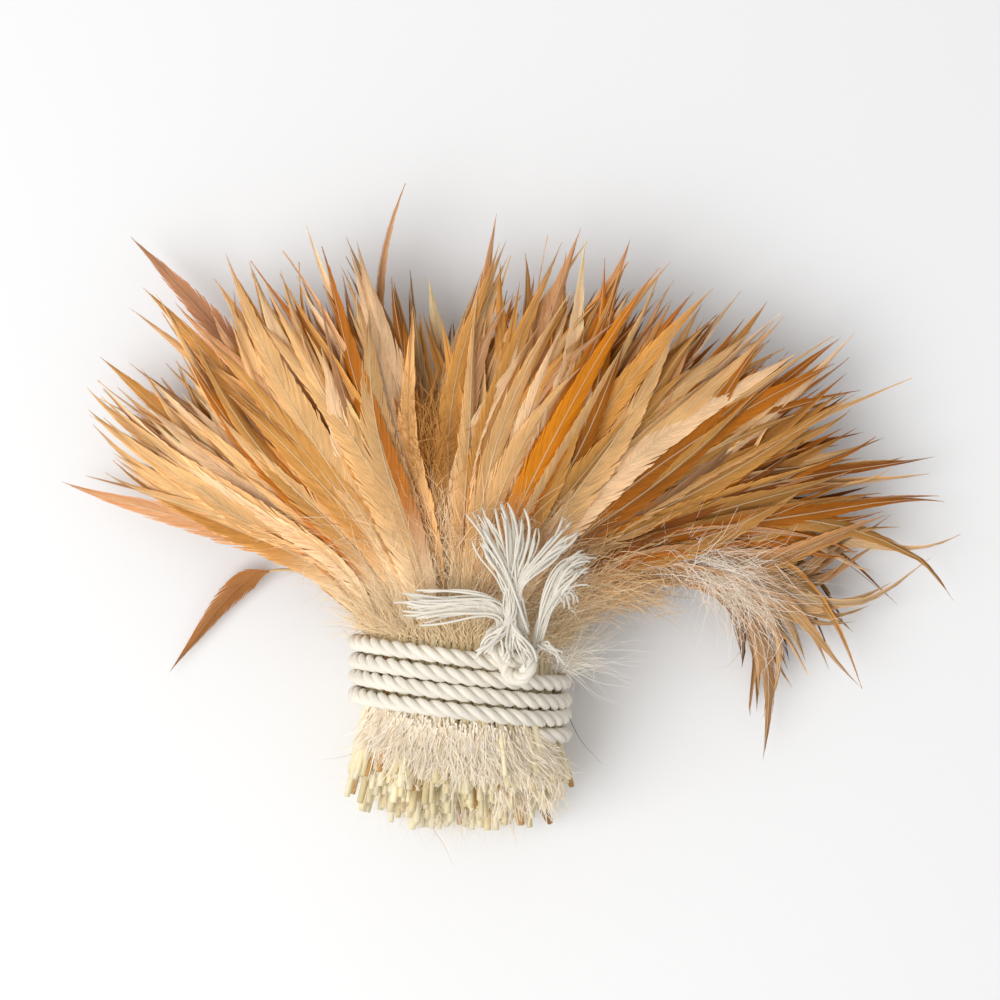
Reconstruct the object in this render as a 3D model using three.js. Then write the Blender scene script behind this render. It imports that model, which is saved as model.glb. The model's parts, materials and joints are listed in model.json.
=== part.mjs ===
// A tied bundle of rooster saddle feathers that lies on a table: the quills stand packed in a stump,
// a cotton cord is wound round them and knotted, and the blades fan out in front of the cord.
// Millimetres, +Z up, +Y from the quill ends to the feather tips. The origin is the point of the
// table under the third turn of the cord.
import * as THREE from 'three';

// ---- Driving dimensions, in millimetres, degrees and plain shares ----
const cordDiameter = 4.0;
const cordTurns = 4;
const tieHalfWidth = 23.5; // the packed quills inside the cord
const tieHalfHeight = 18.5;
const windingSlope = -0.15; // how far the turns run towards the quill ends as they cross to +X
const stumpHalfWidth = 29.5; // the quill ends, which flare behind the cord
const stumpHalfHeight = 21.5;
const stumpLength = 35; // from the origin to the last quill end, on the middle line
const stumpCornerLength = 13; // the same at the sides, where the packed ends are shorter
const fanReach = 1.0; // scales every blade's length
const crownRise = 3.75; // of the fan's downy part over the tie, on the middle line
const sheafHalfWidth = 17; // widest half of any one sheaf
const sheafSquareness = 0.5; // how far the corners of a sheaf's section stand out
const knotRadius = 2.25; // size of the overhand knot's lobes
const knotOpening = 0.6; // half of the knot's curve that is left open for its two ends, in radians
const shaftHalfWidth = 0.45; // a stray feather's bare shaft
const strayHalfWidth = 2.7; // and its blade
const strayHalfThickness = 0.6;

// ---- Clearances ----
const turnGap = 0.3; // between neighbouring turns of the cord
const cordGap = 0.5; // between the packed quills and the cord round them
const packGap = 0.3; // from a sheaf to the middle of the gap beside it
const hingeGap = 1.3; // between the quills and the blades that swing in front of them
const liftGap = 0.9; // under the crown sheaves, which lift
const knotSqueeze = 0.1; // the cord is pressed this much thinner inside the knot
const restGap = 0.4; // under a piece that lies on another

// ---- Values that follow ----
const cordRadius = cordDiameter / 2;
const turnPitch = cordDiameter + turnGap;
const coilHalfWidth = tieHalfWidth + cordGap + cordRadius;
const coilHalfHeight = tieHalfHeight + cordGap + cordRadius;
const cordFlat = 0.25; // depth to which the cord is pressed flat on the table
const tieCentreZ = coilHalfHeight + cordRadius - cordFlat;
const crownHeight = tieCentreZ + tieHalfHeight + crownRise;
const firstTurnY = 2 * turnPitch; // the turn next to the blades, where it passes under the middle
const tieFrontY = firstTurnY + turnPitch / 4 - windingSlope * coilHalfWidth + cordRadius;
const lastTurnY = firstTurnY - (cordTurns - 0.75) * turnPitch; // where the cord ends on the +X side
const tieBackY = lastTurnY + windingSlope * coilHalfWidth - cordRadius;

// ---- The fan: columns of sheaves from -X to +X ----
// from and to are places across the tie, in half widths. heading is the direction of the tips from
// +Y towards +X, curl is what the last stretch adds to it, and tipTop is the fan's height out there.
const columns = [
  { name: 'left_wing', from: -0.96, to: -0.72, heading: -67, curl: 0, length: 92, tipTop: 13 },
  { name: 'left_inner', from: -0.72, to: -0.46, heading: -49, curl: 0, length: 103, tipTop: 21 },
  { name: 'centre_left', from: -0.46, to: -0.18, heading: -26, curl: 0, length: 103, tipTop: 28 },
  { name: 'centre', from: -0.18, to: 0.08, heading: -2, curl: 0, length: 96, tipTop: 31 },
  { name: 'centre_right', from: 0.08, to: 0.32, heading: 20, curl: 0, length: 103, tipTop: 31 },
  { name: 'right_inner', from: 0.32, to: 0.54, heading: 42, curl: 0, length: 104, tipTop: 27 },
  { name: 'right_wing', from: 0.54, to: 0.72, heading: 64, curl: 2, length: 116, tipTop: 21 },
  { name: 'right_low', from: 0.72, to: 0.87, heading: 78, curl: 18, length: 103, tipTop: 14 },
  { name: 'right_droop', from: 0.87, to: 0.96, heading: 88, curl: 92, length: 97, tipTop: 8 },
];
const layers = {
  low: { bottom: -1, top: -0.33, sheaves: 1, length: 1.0 },
  mid: { bottom: -0.33, top: 0.33, sheaves: 1, length: 0.95 },
  top: { bottom: 0.33, top: 1, sheaves: 2, length: 0.91 },
};
const thinColumns = ['left_wing', 'right_wing', 'right_low', 'right_droop'];
const thinLayers = {
  low: { bottom: -1, top: 0, sheaves: 1, length: 1.0 },
  top: { bottom: 0, top: 1, sheaves: 2, length: 0.92 },
};
const crownColumns = ['centre_left', 'centre', 'centre_right'];

// ---- Colours of the sheaves, the quills and the cord ----
const goldenTan = 0xddb37a;
const amber = 0xb8702a;
const strayBrown = 0xa8764a;
const straw = 0xe6d3a4;
const cotton = 0xe9e4da;

const group = new THREE.Group();
group.name = 'feather_bundle';

function addMesh(name, geometry, colour, roughness = 0.8) {
  const material = new THREE.MeshStandardMaterial({ color: colour, roughness, metalness: 0 });
  const mesh = new THREE.Mesh(geometry, material);
  mesh.name = name;
  group.add(mesh);
  return mesh;
}

/** Smooth step from 0 to 1 as value goes from low to high. */
function ease(value, low, high) {
  return THREE.MathUtils.smoothstep(value, low, high);
}

/** A column value at any place across the tie, straight between the columns' middles. */
function acrossFan(place, key) {
  const middles = columns.map((column) => (column.from + column.to) / 2);
  let index = middles.findIndex((middle) => middle > place) - 1;
  if (index === -2) index = columns.length - 2;
  if (index === -1) index = 0;
  const share = (place - middles[index]) / (middles[index + 1] - middles[index]);
  return THREE.MathUtils.lerp(columns[index][key], columns[index + 1][key], share);
}

/** Plan point of the feather shaft that leaves the tie at place, after a run along the shaft. */
function planPoint(place, run) {
  const turn = THREE.MathUtils.degToRad(acrossFan(place, 'heading'));
  const curl = THREE.MathUtils.degToRad(acrossFan(place, 'curl'));
  const steps = Math.max(1, Math.ceil(run / 2));
  const point = new THREE.Vector2(tieHalfWidth * place, tieFrontY);
  for (let step = 0; step < steps; step += 1) {
    const along = ((step + 0.5) / steps) * run;
    const reached = along / fanReach;
    const heading = turn * (0.25 + 0.75 * ease(reached, -8, 40)) + curl * ease(reached, 26, 92);
    point.x += (Math.sin(heading) * run) / steps;
    point.y += (Math.cos(heading) * run) / steps;
  }
  return point;
}

/** Half height of the packed quills at a place across the tie: the tie's section is an ellipse. */
function tieHalfHeightAt(place) {
  return tieHalfHeight * Math.sqrt(1 - place * place);
}

/** Height of the point at level (-1 lowest, 1 highest) after a run along the shaft. */
function fanHeight(place, level, run) {
  const half = tieHalfHeightAt(place);
  const bottom = (tieCentreZ - half) * (1 - ease(run / fanReach, 0, 24));
  const crown = crownHeight * (1 - 0.5 * place * place);
  const rise = THREE.MathUtils.lerp(tieCentreZ + half, crown, ease(run / fanReach, 4, 36));
  const top = THREE.MathUtils.lerp(rise, acrossFan(place, 'tipTop'), ease(run / fanReach, 20, 105));
  return bottom + ((top - bottom) * (level + 1)) / 2;
}

/**
 * A closed eight-sided rod whose points are placed by a function of its section (u and v, each -1 to
 * 1) and its run (0 to 1). Squareness 0 keeps the section regular, and more moves its corners out.
 */
function warpedRod(rings, squareness, pointAt) {
  const sides = 8;
  const rod = new THREE.CylinderGeometry(1, 1, 1, sides, rings, false, Math.PI / sides);
  const position = rod.getAttribute('position');
  const reach = Math.cos(Math.PI / sides); // brings the flat sides out to -1 and 1
  const square = (value) => Math.sign(value) * Math.abs(value / reach) ** (1 - squareness);
  for (let index = 0; index < position.count; index += 1) {
    const u = square(position.getX(index));
    const v = square(position.getZ(index));
    const point = pointAt(u, v, 0.5 + position.getY(index));
    position.setXYZ(index, point.x, point.y, point.z);
  }
  rod.computeVertexNormals();
  return rod;
}

/** One sheaf of blades: the stretch of the fan between two places and two levels of the tie. */
function sheafGeometry(cell, startGap, length, underGap) {
  const middle = (cell.from + cell.to) / 2;
  const halfPlace = (cell.to - cell.from) / 2;
  const liesOnTable = cell.bottom === -1;
  return warpedRod(9, sheafSquareness, (u, v, share) => {
    const run = THREE.MathUtils.lerp(startGap, length, share);
    const taper = 1 - 0.92 * ease(share, 0.56, 1.04);
    const edge = planPoint(middle + halfPlace, run);
    const width = edge.distanceTo(planPoint(middle - halfPlace, run)) / 2;
    const fill = Math.min(width - packGap, sheafHalfWidth) / width;
    const place = middle + halfPlace * u * fill * taper;
    const base = fanHeight(place, cell.bottom, run) + (liesOnTable ? 0 : underGap);
    const top = fanHeight(place, cell.top, run) - packGap;
    const centre = liesOnTable ? base : (base + top) / 2;
    const z = THREE.MathUtils.lerp(base, top, (v + 1) / 2);
    const plan = planPoint(place, run);
    return new THREE.Vector3(plan.x, plan.y, THREE.MathUtils.lerp(centre, z, 0.2 + 0.8 * taper));
  });
}

for (const column of columns) {
  const stack = thinColumns.includes(column.name) ? thinLayers : layers;
  for (const [layerName, layer] of Object.entries(stack)) {
    const inCrownColumn = crownColumns.includes(column.name);
    const underGap = inCrownColumn && layerName === 'top' ? liftGap : packGap;
    const startGap = inCrownColumn && layerName !== 'top' ? packGap : hingeGap;
    const step = (column.to - column.from) / layer.sheaves;
    for (let index = 0; index < layer.sheaves; index += 1) {
      const from = column.from + index * step;
      const cell = { from, to: from + step, bottom: layer.bottom, top: layer.top };
      const length = column.length * layer.length * fanReach * (1 - 0.05 * index);
      const ending = layer.sheaves > 1 ? `_${index + 1}` : '';
      const colour = column.heading > 30 ? amber : goldenTan;
      const geometry = sheafGeometry(cell, startGap, length, underGap);
      addMesh(`blades_${column.name}_${layerName}${ending}`, geometry, colour, 0.7);
    }
  }
}

// ---- The packed quills, which run through the cord to the blunt end ----
const packEdges = [-0.96, -0.58, -0.2, 0.2, 0.58, 0.96];
const packNames = ['far_left', 'left', 'middle', 'right', 'far_right'];

/** Point of the packed quills at a place and level, at a distance along Y. */
function packPoint(place, level, y) {
  const flare = ease(-y, -tieBackY, stumpLength);
  const halfWidth = THREE.MathUtils.lerp(tieHalfWidth, stumpHalfWidth, flare);
  const halfHeight = THREE.MathUtils.lerp(tieHalfHeight, stumpHalfHeight, flare);
  const z = tieCentreZ + halfHeight * Math.sqrt(1 - place * place) * level;
  return new THREE.Vector3(halfWidth * place, y, z);
}

packNames.forEach((name, index) => {
  const from = packEdges[index];
  const to = packEdges[index + 1];
  const middle = (from + to) / 2;
  const fill = 1 - (2 * packGap) / (tieHalfWidth * (to - from));
  const depth = Math.sqrt(1 - middle * middle);
  const endY = -THREE.MathUtils.lerp(stumpCornerLength, stumpLength, depth ** 1.5);
  const levelGap = packGap / (tieHalfHeight * depth);
  for (const [row, side] of [['low', -1], ['high', 1]]) {
    const geometry = warpedRod(4, sheafSquareness, (u, v, share) => {
      const place = middle + ((to - from) / 2) * u * fill;
      const level = side * THREE.MathUtils.lerp(levelGap, 1 - levelGap, (side * v + 1) / 2);
      return packPoint(place, level, THREE.MathUtils.lerp(endY, tieFrontY, share));
    });
    addMesh(`quills_${name}_${row}`, geometry, straw, 0.6);
  }
});

// ---- The cord: turns round the quills, an overhand knot on top, and the ends that fray ----
const stepsPerTurn = 24;
const windingStartStep = -2.5; // under the knot; half steps lay one flat of each turn on the table
const windingEndStep = cordTurns * stepsPerTurn - 3.5;

/** A point of the cord round the quills: out from the tie's middle by v, and along +Y by u. */
function windingPoint(u, v, share) {
  const turns = THREE.MathUtils.lerp(windingStartStep, windingEndStep, share) / stepsPerTurn;
  const angle = Math.PI / 2 + 2 * Math.PI * turns;
  const x = (coilHalfWidth + v * cordRadius) * Math.cos(angle);
  const y = firstTurnY - turnPitch * (turns - 0.5) + windingSlope * x + u * cordRadius;
  const z = tieCentreZ + (coilHalfHeight + v * cordRadius) * Math.sin(angle);
  return new THREE.Vector3(x, y, Math.max(0, z));
}

const winding = warpedRod(windingEndStep - windingStartStep, 0, windingPoint);
addMesh('cord_winding', winding, cotton, 0.9);

const knotX = 0.6 * tieHalfWidth;
const knotY = firstTurnY + turnPitch;
const knotSeatX = knotX - knotRadius; // where the knot touches the turns, which slope down to +X
const knotSeatZ = tieCentreZ + coilHalfHeight * Math.sqrt(1 - (knotSeatX / coilHalfWidth) ** 2);
const knotZ = knotSeatZ + cordRadius + restGap + knotRadius + cordRadius;

/** An overhand knot, opened where its two ends leave it. */
class KnotCurve extends THREE.Curve {
  getPoint(share, target = new THREE.Vector3()) {
    const angle = THREE.MathUtils.lerp(knotOpening, 2 * Math.PI - knotOpening, share) + Math.PI / 3;
    const x = Math.sin(angle) + 2 * Math.sin(2 * angle);
    const y = Math.cos(angle) - 2 * Math.cos(2 * angle);
    const z = -Math.sin(3 * angle);
    return target.set(knotX + knotRadius * x, knotY + knotRadius * y, knotZ + knotRadius * z);
  }
}

/** A round section of the cord, as an eight-sided outline. */
function cordSection(radius) {
  const corners = [];
  for (let corner = 0; corner < 8; corner += 1) {
    const angle = (corner * Math.PI) / 4;
    corners.push(new THREE.Vector2(radius * Math.cos(angle), radius * Math.sin(angle)));
  }
  return new THREE.Shape(corners);
}

const knotCurve = new KnotCurve();
const knot = new THREE.ExtrudeGeometry(cordSection(cordRadius - knotSqueeze), {
  steps: 44,
  bevelEnabled: false,
  extrudePath: knotCurve,
});
addMesh('cord_knot', knot, cotton, 0.9);

/** A rod along a curve. The two functions give its half width and half height at a share of it. */
function rodAlong(points, rings, halfWidthAt, halfHeightAt) {
  const curve = new THREE.CatmullRomCurve3(points);
  const up = new THREE.Vector3(0, 0, 1);
  return warpedRod(rings, sheafSquareness, (u, v, share) => {
    const along = curve.getTangentAt(share);
    const side = new THREE.Vector3().crossVectors(along, up).normalize();
    const lift = new THREE.Vector3().crossVectors(side, along);
    const point = curve.getPointAt(share).addScaledVector(side, u * halfWidthAt(share));
    return point.addScaledVector(lift, v * halfHeightAt(share));
  });
}

/** A stray feather: a bare shaft for the first share of its curve, then a blade with a long point. */
function strayGeometry(points, bareShare) {
  const halfWidthAt = (share) => {
    const blade = Math.max(0, share - bareShare) / (1 - bareShare);
    return shaftHalfWidth * (1 - 0.5 * blade) + strayHalfWidth * Math.sin(Math.PI * blade ** 0.6) ** 0.8;
  };
  return rodAlong(points, 9, halfWidthAt, () => strayHalfThickness);
}

/** A point of the fan at a place and level of the tie, for a piece that lies among the feathers. */
function fanPoint(place, level, run) {
  const plan = planPoint(place, run);
  return new THREE.Vector3(plan.x, plan.y, fanHeight(place, level, run));
}

const lowRoot = fanPoint(-1.0, -0.55, 18 * fanReach);
const strayFeathers = {
  stray_upper_left: {
    bareShare: 0.36,
    points: [
      fanPoint(-0.46, 0, 60 * fanReach),
      fanPoint(-0.465, 0, 90 * fanReach),
      fanPoint(-0.48, 0.1, 125 * fanReach),
    ],
  },
  stray_upper_middle: {
    bareShare: 0.36,
    points: [
      fanPoint(-0.18, 0, 58 * fanReach),
      fanPoint(-0.175, 0, 86 * fanReach),
      fanPoint(-0.1, 0.3, 114 * fanReach),
    ],
  },
  stray_lower_left: {
    bareShare: 0.36,
    points: [
      lowRoot,
      lowRoot.clone().add(new THREE.Vector3(-16, 1, -2)),
      lowRoot.clone().add(new THREE.Vector3(-27, -7, -3)),
      lowRoot.clone().add(new THREE.Vector3(-41, -25, -5)),
    ],
  },
};
for (const [name, stray] of Object.entries(strayFeathers)) {
  addMesh(name, strayGeometry(stray.points, stray.bareShare), strayBrown, 0.7);
}

// The frayed ends leave the knot and come down to lie on the crown. Two of them start face to face
// with the knot's open ends, and the third at the side of its left lobe.
const knotReach = 3 * knotRadius + cordRadius;
const brushHalfHeight = knotRadius - 0.55;
const lieZ = crownHeight + restGap + brushHalfHeight;

/** A point in front of the knot's open end, out along the cord. */
function beyondKnotEnd(share, distance) {
  const outwards = knotCurve.getTangent(share).multiplyScalar(share === 0 ? -distance : distance);
  return knotCurve.getPoint(share).add(outwards);
}

const leftLobe = new THREE.Vector3(knotX, knotY, knotZ);
const leftLobeAngle = (5 * Math.PI) / 6;
leftLobe.x += (knotReach + restGap / 2) * Math.cos(leftLobeAngle);
leftLobe.y += (knotReach + restGap / 2) * Math.sin(leftLobeAngle);
const frayedTails = {
  cord_tail_left: {
    endHalfWidth: 3.2,
    points: [
      leftLobe,
      new THREE.Vector3(leftLobe.x - 9, leftLobe.y + 1.5, lieZ + 0.8),
      new THREE.Vector3(leftLobe.x - 22, leftLobe.y + 1, lieZ + 0.3),
    ],
  },
  cord_tail_upper: {
    endHalfWidth: 8,
    points: [
      beyondKnotEnd(0, 1.5 * restGap),
      beyondKnotEnd(0, 5).add(new THREE.Vector3(0, 1, 0.5)),
      new THREE.Vector3(knotX + 4.5, knotY + 13, lieZ + 1.2),
      new THREE.Vector3(knotX + 1, knotY + 31, lieZ),
    ],
  },
  cord_tail_right: {
    endHalfWidth: 4,
    points: [
      beyondKnotEnd(1, 1.5 * restGap),
      new THREE.Vector3(knotX + 12.5, knotY + 5, lieZ + 0.2),
      new THREE.Vector3(knotX + 19, knotY + 21, lieZ - 1.5),
    ],
  },
};
for (const [name, tail] of Object.entries(frayedTails)) {
  const halfWidthAt = (share) =>
    THREE.MathUtils.lerp(brushHalfHeight, tail.endHalfWidth, ease(share, 0, 1));
  const geometry = rodAlong(tail.points, 6, halfWidthAt, () => brushHalfHeight);
  addMesh(name, geometry, cotton, 0.95);
}

export default group;
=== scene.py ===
# %% [markdown]
# # A tied bundle of rooster saddle feathers
# Feather sellers tie a few hundred loose saddle feathers with a cotton cord and sell them as one
# bundle. The quills are packed in a blunt stump, the cord holds them, and the blades fan out over
# the table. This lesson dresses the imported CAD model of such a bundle: every sheaf of the model
# becomes real feathers, every pack of quills becomes cut quill tubes with down between them, and
# the plain cord becomes three laid strands whose ends fray into threads.

# %% Load the frame
import json
from collections import namedtuple

import bpy
import numpy as np
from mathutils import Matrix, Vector


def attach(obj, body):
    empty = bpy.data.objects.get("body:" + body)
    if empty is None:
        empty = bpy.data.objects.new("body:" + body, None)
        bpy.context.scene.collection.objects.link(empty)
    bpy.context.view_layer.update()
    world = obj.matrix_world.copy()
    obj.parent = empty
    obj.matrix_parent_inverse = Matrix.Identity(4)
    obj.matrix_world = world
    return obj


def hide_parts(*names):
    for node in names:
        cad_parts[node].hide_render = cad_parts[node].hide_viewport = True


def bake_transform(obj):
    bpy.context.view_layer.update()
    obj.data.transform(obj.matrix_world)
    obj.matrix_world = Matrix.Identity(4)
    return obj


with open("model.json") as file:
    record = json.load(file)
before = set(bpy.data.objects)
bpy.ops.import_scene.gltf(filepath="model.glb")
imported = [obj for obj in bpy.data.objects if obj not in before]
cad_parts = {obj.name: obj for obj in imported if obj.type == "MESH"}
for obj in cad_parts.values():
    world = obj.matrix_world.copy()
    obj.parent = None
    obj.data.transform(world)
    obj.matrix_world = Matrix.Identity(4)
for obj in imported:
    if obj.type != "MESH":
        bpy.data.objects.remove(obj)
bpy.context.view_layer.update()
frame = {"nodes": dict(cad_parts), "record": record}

MM = 0.001  # the sizes below are millimetres, as in the CAD source, and meshes are metres

# %% [markdown]
# ## The shape of the tie and of the fan
# All feathers leave the tie, an ellipse of packed quills, and turn away from each other as they run
# out. The CAD source describes that flow with nine columns across the tie, and the same numbers are
# repeated here, so that a feather can be laid anywhere in the space of its sheaf. A place runs from
# -1 to 1 across the tie, a level from -1 on the table to 1 on top, and a run is the distance from
# the tie along the shaft.

# %% Sizes of the tie, the stump and the fan
TIE_HALF_WIDTH, TIE_HALF_HEIGHT = 23.5, 18.5
STUMP_HALF_WIDTH, STUMP_HALF_HEIGHT = 29.5, 21.5
STUMP_LENGTH, STUMP_CORNER_LENGTH = 35.0, 13.0
CORD_RADIUS, TURN_PITCH, CORD_TURNS = 2.0, 4.3, 4
COIL_HALF_WIDTH, COIL_HALF_HEIGHT = 26.0, 21.0
WINDING_SLOPE = -0.15
TIE_Z, TIE_FRONT, TIE_BACK, FIRST_TURN = 22.75, 15.575, -11.275, 8.6
CROWN_HEIGHT = TIE_Z + TIE_HALF_HEIGHT + 3.75

# runs between which the shafts turn to their heading and curl, and the sheaves come down to the
# table, rise to the crown and sink to their tips
TURNING, CURLING, LANDING, RISING, SINKING = (-8, 40), (26, 92), (0, 24), (4, 36), (20, 105)

# name: from, to, heading, curl, length, top of the tips
COLUMNS = {
    "left_wing": (-0.96, -0.72, -67, 0, 92, 13),
    "left_inner": (-0.72, -0.46, -49, 0, 103, 21),
    "centre_left": (-0.46, -0.18, -26, 0, 103, 28),
    "centre": (-0.18, 0.08, -2, 0, 96, 31),
    "centre_right": (0.08, 0.32, 20, 0, 103, 31),
    "right_inner": (0.32, 0.54, 42, 0, 104, 27),
    "right_wing": (0.54, 0.72, 64, 2, 116, 21),
    "right_low": (0.72, 0.87, 78, 18, 103, 14),
    "right_droop": (0.87, 0.96, 88, 92, 97, 8),
}
column_values = np.array(list(COLUMNS.values()), float)
MIDDLES = column_values[:, :2].mean(1)
HEADINGS, CURLS = np.radians(column_values[:, 2]), np.radians(column_values[:, 3])
LENGTHS, TIP_TOPS = column_values[:, 4], column_values[:, 5]
print("the fan has", len(COLUMNS), "columns, and blades of", LENGTHS.min(), "to", LENGTHS.max())


# %% The flow of the fan as a function
def ease(value, low, high):
    """Smooth step from 0 at low to 1 at high: 3 share squared less 2 share cubed."""
    share = np.clip((value - low) / (high - low), 0, 1)
    return share * share * (3 - 2 * share)


def mix(first, second, share):
    """first at share 0, second at share 1, and straight between."""
    return first + (second - first) * share


def across_fan(place, values):
    """A column value at any place: straight between the middles, and carried on past the ends."""
    i = np.clip(np.searchsorted(MIDDLES, place) - 1, 0, len(MIDDLES) - 2)
    return mix(values[i], values[i + 1], (place - MIDDLES[i]) / (MIDDLES[i + 1] - MIDDLES[i]))


# One table of shafts seen from above: the heading turns from a quarter of the column's to all of
# it, the curl comes in farther out, and x and y are the running sums of its sine and cosine.
# Places between the table's are interpolated.
STEP = 2.0
table_places = np.linspace(-1.15, 1.15, 93)
table_runs = np.arange(0, 140, STEP)
mid_runs = table_runs[None, :] + STEP / 2
table_heading = (
    across_fan(table_places, HEADINGS)[:, None] * (0.25 + 0.75 * ease(mid_runs, *TURNING))
    + across_fan(table_places, CURLS)[:, None] * ease(mid_runs, *CURLING)
)
starts = np.zeros((len(table_places), 1))
table_x = TIE_HALF_WIDTH * table_places[:, None] + STEP * np.hstack(
    [starts, np.cumsum(np.sin(table_heading), 1)])[:, :-1]
table_y = TIE_FRONT + STEP * np.hstack([starts, np.cumsum(np.cos(table_heading), 1)])[:, :-1]


def read_table(table, place, run):
    """Value of a table of shafts between its rows and columns, by two straight interpolations."""
    row = np.clip((place - table_places[0]) / (table_places[1] - table_places[0]),
                  0, len(table_places) - 1.001)
    column = np.clip(run / STEP, 0, len(table_runs) - 1.001)
    i, j = row.astype(int), column.astype(int)
    near = mix(table[i, j], table[i, j + 1], column - j)
    far = mix(table[i + 1, j], table[i + 1, j + 1], column - j)
    return mix(near, far, row - i)


def fan_height(place, level, run):
    """Height in the fan: the bottom comes down to the table, the top rises to the crown and then
    sinks to the column's tip height, and level picks a share between the two."""
    inside = np.clip(place, -0.985, 0.985)
    half = TIE_HALF_HEIGHT * np.sqrt(1 - inside**2)
    bottom = (TIE_Z - half) * (1 - ease(run, *LANDING))
    crown = CROWN_HEIGHT * (1 - 0.5 * inside**2)
    rise = mix(TIE_Z + half, crown, ease(run, *RISING))
    top = mix(rise, across_fan(place, TIP_TOPS), ease(run, *SINKING))
    return bottom + (top - bottom) * (level + 1) / 2


def fan_point(place, level, run):
    """Points of the fan at places, levels and runs, which may be arrays of one shape."""
    place, level, run = np.broadcast_arrays(*np.atleast_1d(place, level, run))
    return np.stack([read_table(table_x, place, run), read_table(table_y, place, run),
                     fan_height(place, level, run)], -1)


print("the middle shaft ends at", fan_point(-0.05, 1, 96.0).round(1))

# %% [markdown]
# ## Colours
# The loose feathers of one bird run from cream through golden tan to amber and rust. The colours
# are kept as screen values, as a paint chart would give them, and are made linear once, because
# shaders add up light and not screen values.


# %% A palette of natural feather colours
def linear(red, green, blue):
    """A screen colour from 0 to 255 as linear light: the usual display curve undone."""
    screen = np.array([red, green, blue]) / 255
    return np.where(screen <= 0.04045, screen / 12.92, ((screen + 0.055) / 1.055) ** 2.4)


CREAM, TAN, HONEY = linear(244, 201, 154), linear(233, 182, 120), linear(208, 148, 74)
AMBER, RUST, MAUVE = linear(188, 108, 18), linear(160, 88, 24), linear(208, 152, 104)
# painted shade: darker gold and rust for the feathers and down that lie under others, and for the
# hollow where the crown parts
SHADE_GOLD, SHADE_RUST = linear(174, 114, 48), linear(132, 74, 18)
DROOP_TAN = linear(218, 178, 130)
ORANGE, DOWN_BEIGE, DOWN_WHITE = linear(228, 138, 20), linear(242, 218, 178), linear(252, 244, 230)
STRAW, COTTON, DROOP_DOWN = linear(238, 218, 168), linear(237, 230, 216), linear(238, 216, 192)
PALETTE = np.stack([CREAM, TAN, HONEY, AMBER, RUST, MAUVE])
# shares of the palette on the far left, in the middle and on the far right
SHARES = np.array([[0.22, 0.52, 0.20, 0.00, 0.0, 0.06],
                   [0.12, 0.36, 0.32, 0.10, 0.0, 0.10],
                   [0.04, 0.12, 0.29, 0.41, 0.09, 0.05]])


def pick_colours(rng, place):
    """One palette colour a feather: the shares run from the left row to the middle and right rows
    with the place, and a random number picks from their running sum."""
    side = np.clip(place, -1, 1) + 1
    low = np.minimum(side.astype(int), 1)
    shares = mix(SHARES[low], SHARES[low + 1], (side - low)[:, None])
    pick = (rng.random(len(place))[:, None] > np.cumsum(shares, 1)).sum(1)
    colours = PALETTE[np.minimum(pick, len(PALETTE) - 1)]
    return mix(colours, DROOP_TAN, 0.6 * ease(place, 0.80, 0.90)[:, None])


print("shares of the palette in the middle:", dict(zip(
    ("cream", "tan", "honey", "amber", "rust", "mauve"), SHARES[1].tolist())))

# %% [markdown]
# ## From arrays to a mesh
# Every piece below is worked out as whole arrays, so one helper turns them into an object. It
# stores two maps. Guide tells the material how the pattern runs, as a barb or a fibre does. OFBake
# gives each repeated shape a cell of its own, because unwrapping thousands of small blades by
# their angle would leave each of them a few specks of colour.


# %% Helpers for maps and quads
def cells(along, across, slender=1):
    """Places local coordinates (0 to 1), whose first axis counts the shapes, in a sheet of cells:
    a shape's number gives the row and column of its cell, and a margin keeps neighbours apart. A
    cell is slender times as long as it is wide."""
    count = len(along)
    columns = max(1, round((count / slender) ** 0.5))
    rows = int(np.ceil(count / columns))
    cell = np.arange(count).reshape(-1, *[1] * (along.ndim - 1))
    u = (cell % columns + 0.04 + 0.92 * np.clip(along, 0, 1)) / columns
    v = (cell // columns + 0.08 + 0.84 * np.clip(across, 0, 1)) / rows
    return np.stack([u, v], -1)


def cornered(values, quads):
    """A map with a value a corner, from the values of the points and the quads between them."""
    return values.reshape(-1, 2)[quads]


def above_table(points, gap):
    """The same points, with those lower than gap lifted to it."""
    points[:, 2] = np.maximum(points[:, 2], gap)
    return points


def unit(vectors):
    """Vectors scaled to length 1."""
    return vectors / np.maximum(np.linalg.norm(vectors, axis=-1, keepdims=True), 1e-9)


def grid_quads(rows, columns, flip=False):
    """Quads of a grid of rows by columns whose vertices are numbered row by row."""
    i, j = np.meshgrid(np.arange(rows - 1), np.arange(columns - 1), indexing="ij")
    corner = (i * columns + j).ravel()
    quads = np.stack([corner, corner + 1, corner + columns + 1, corner + columns], 1)
    return quads[:, ::-1] if flip else quads


def repeated(quads, size, count):
    """The quads of one shape with size vertices, for count shapes one after the other."""
    return (quads[None] + size * np.arange(count)[:, None, None]).reshape(-1, 4)


print("the quad of a 2 by 2 grid:", grid_quads(2, 2).tolist())


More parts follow.
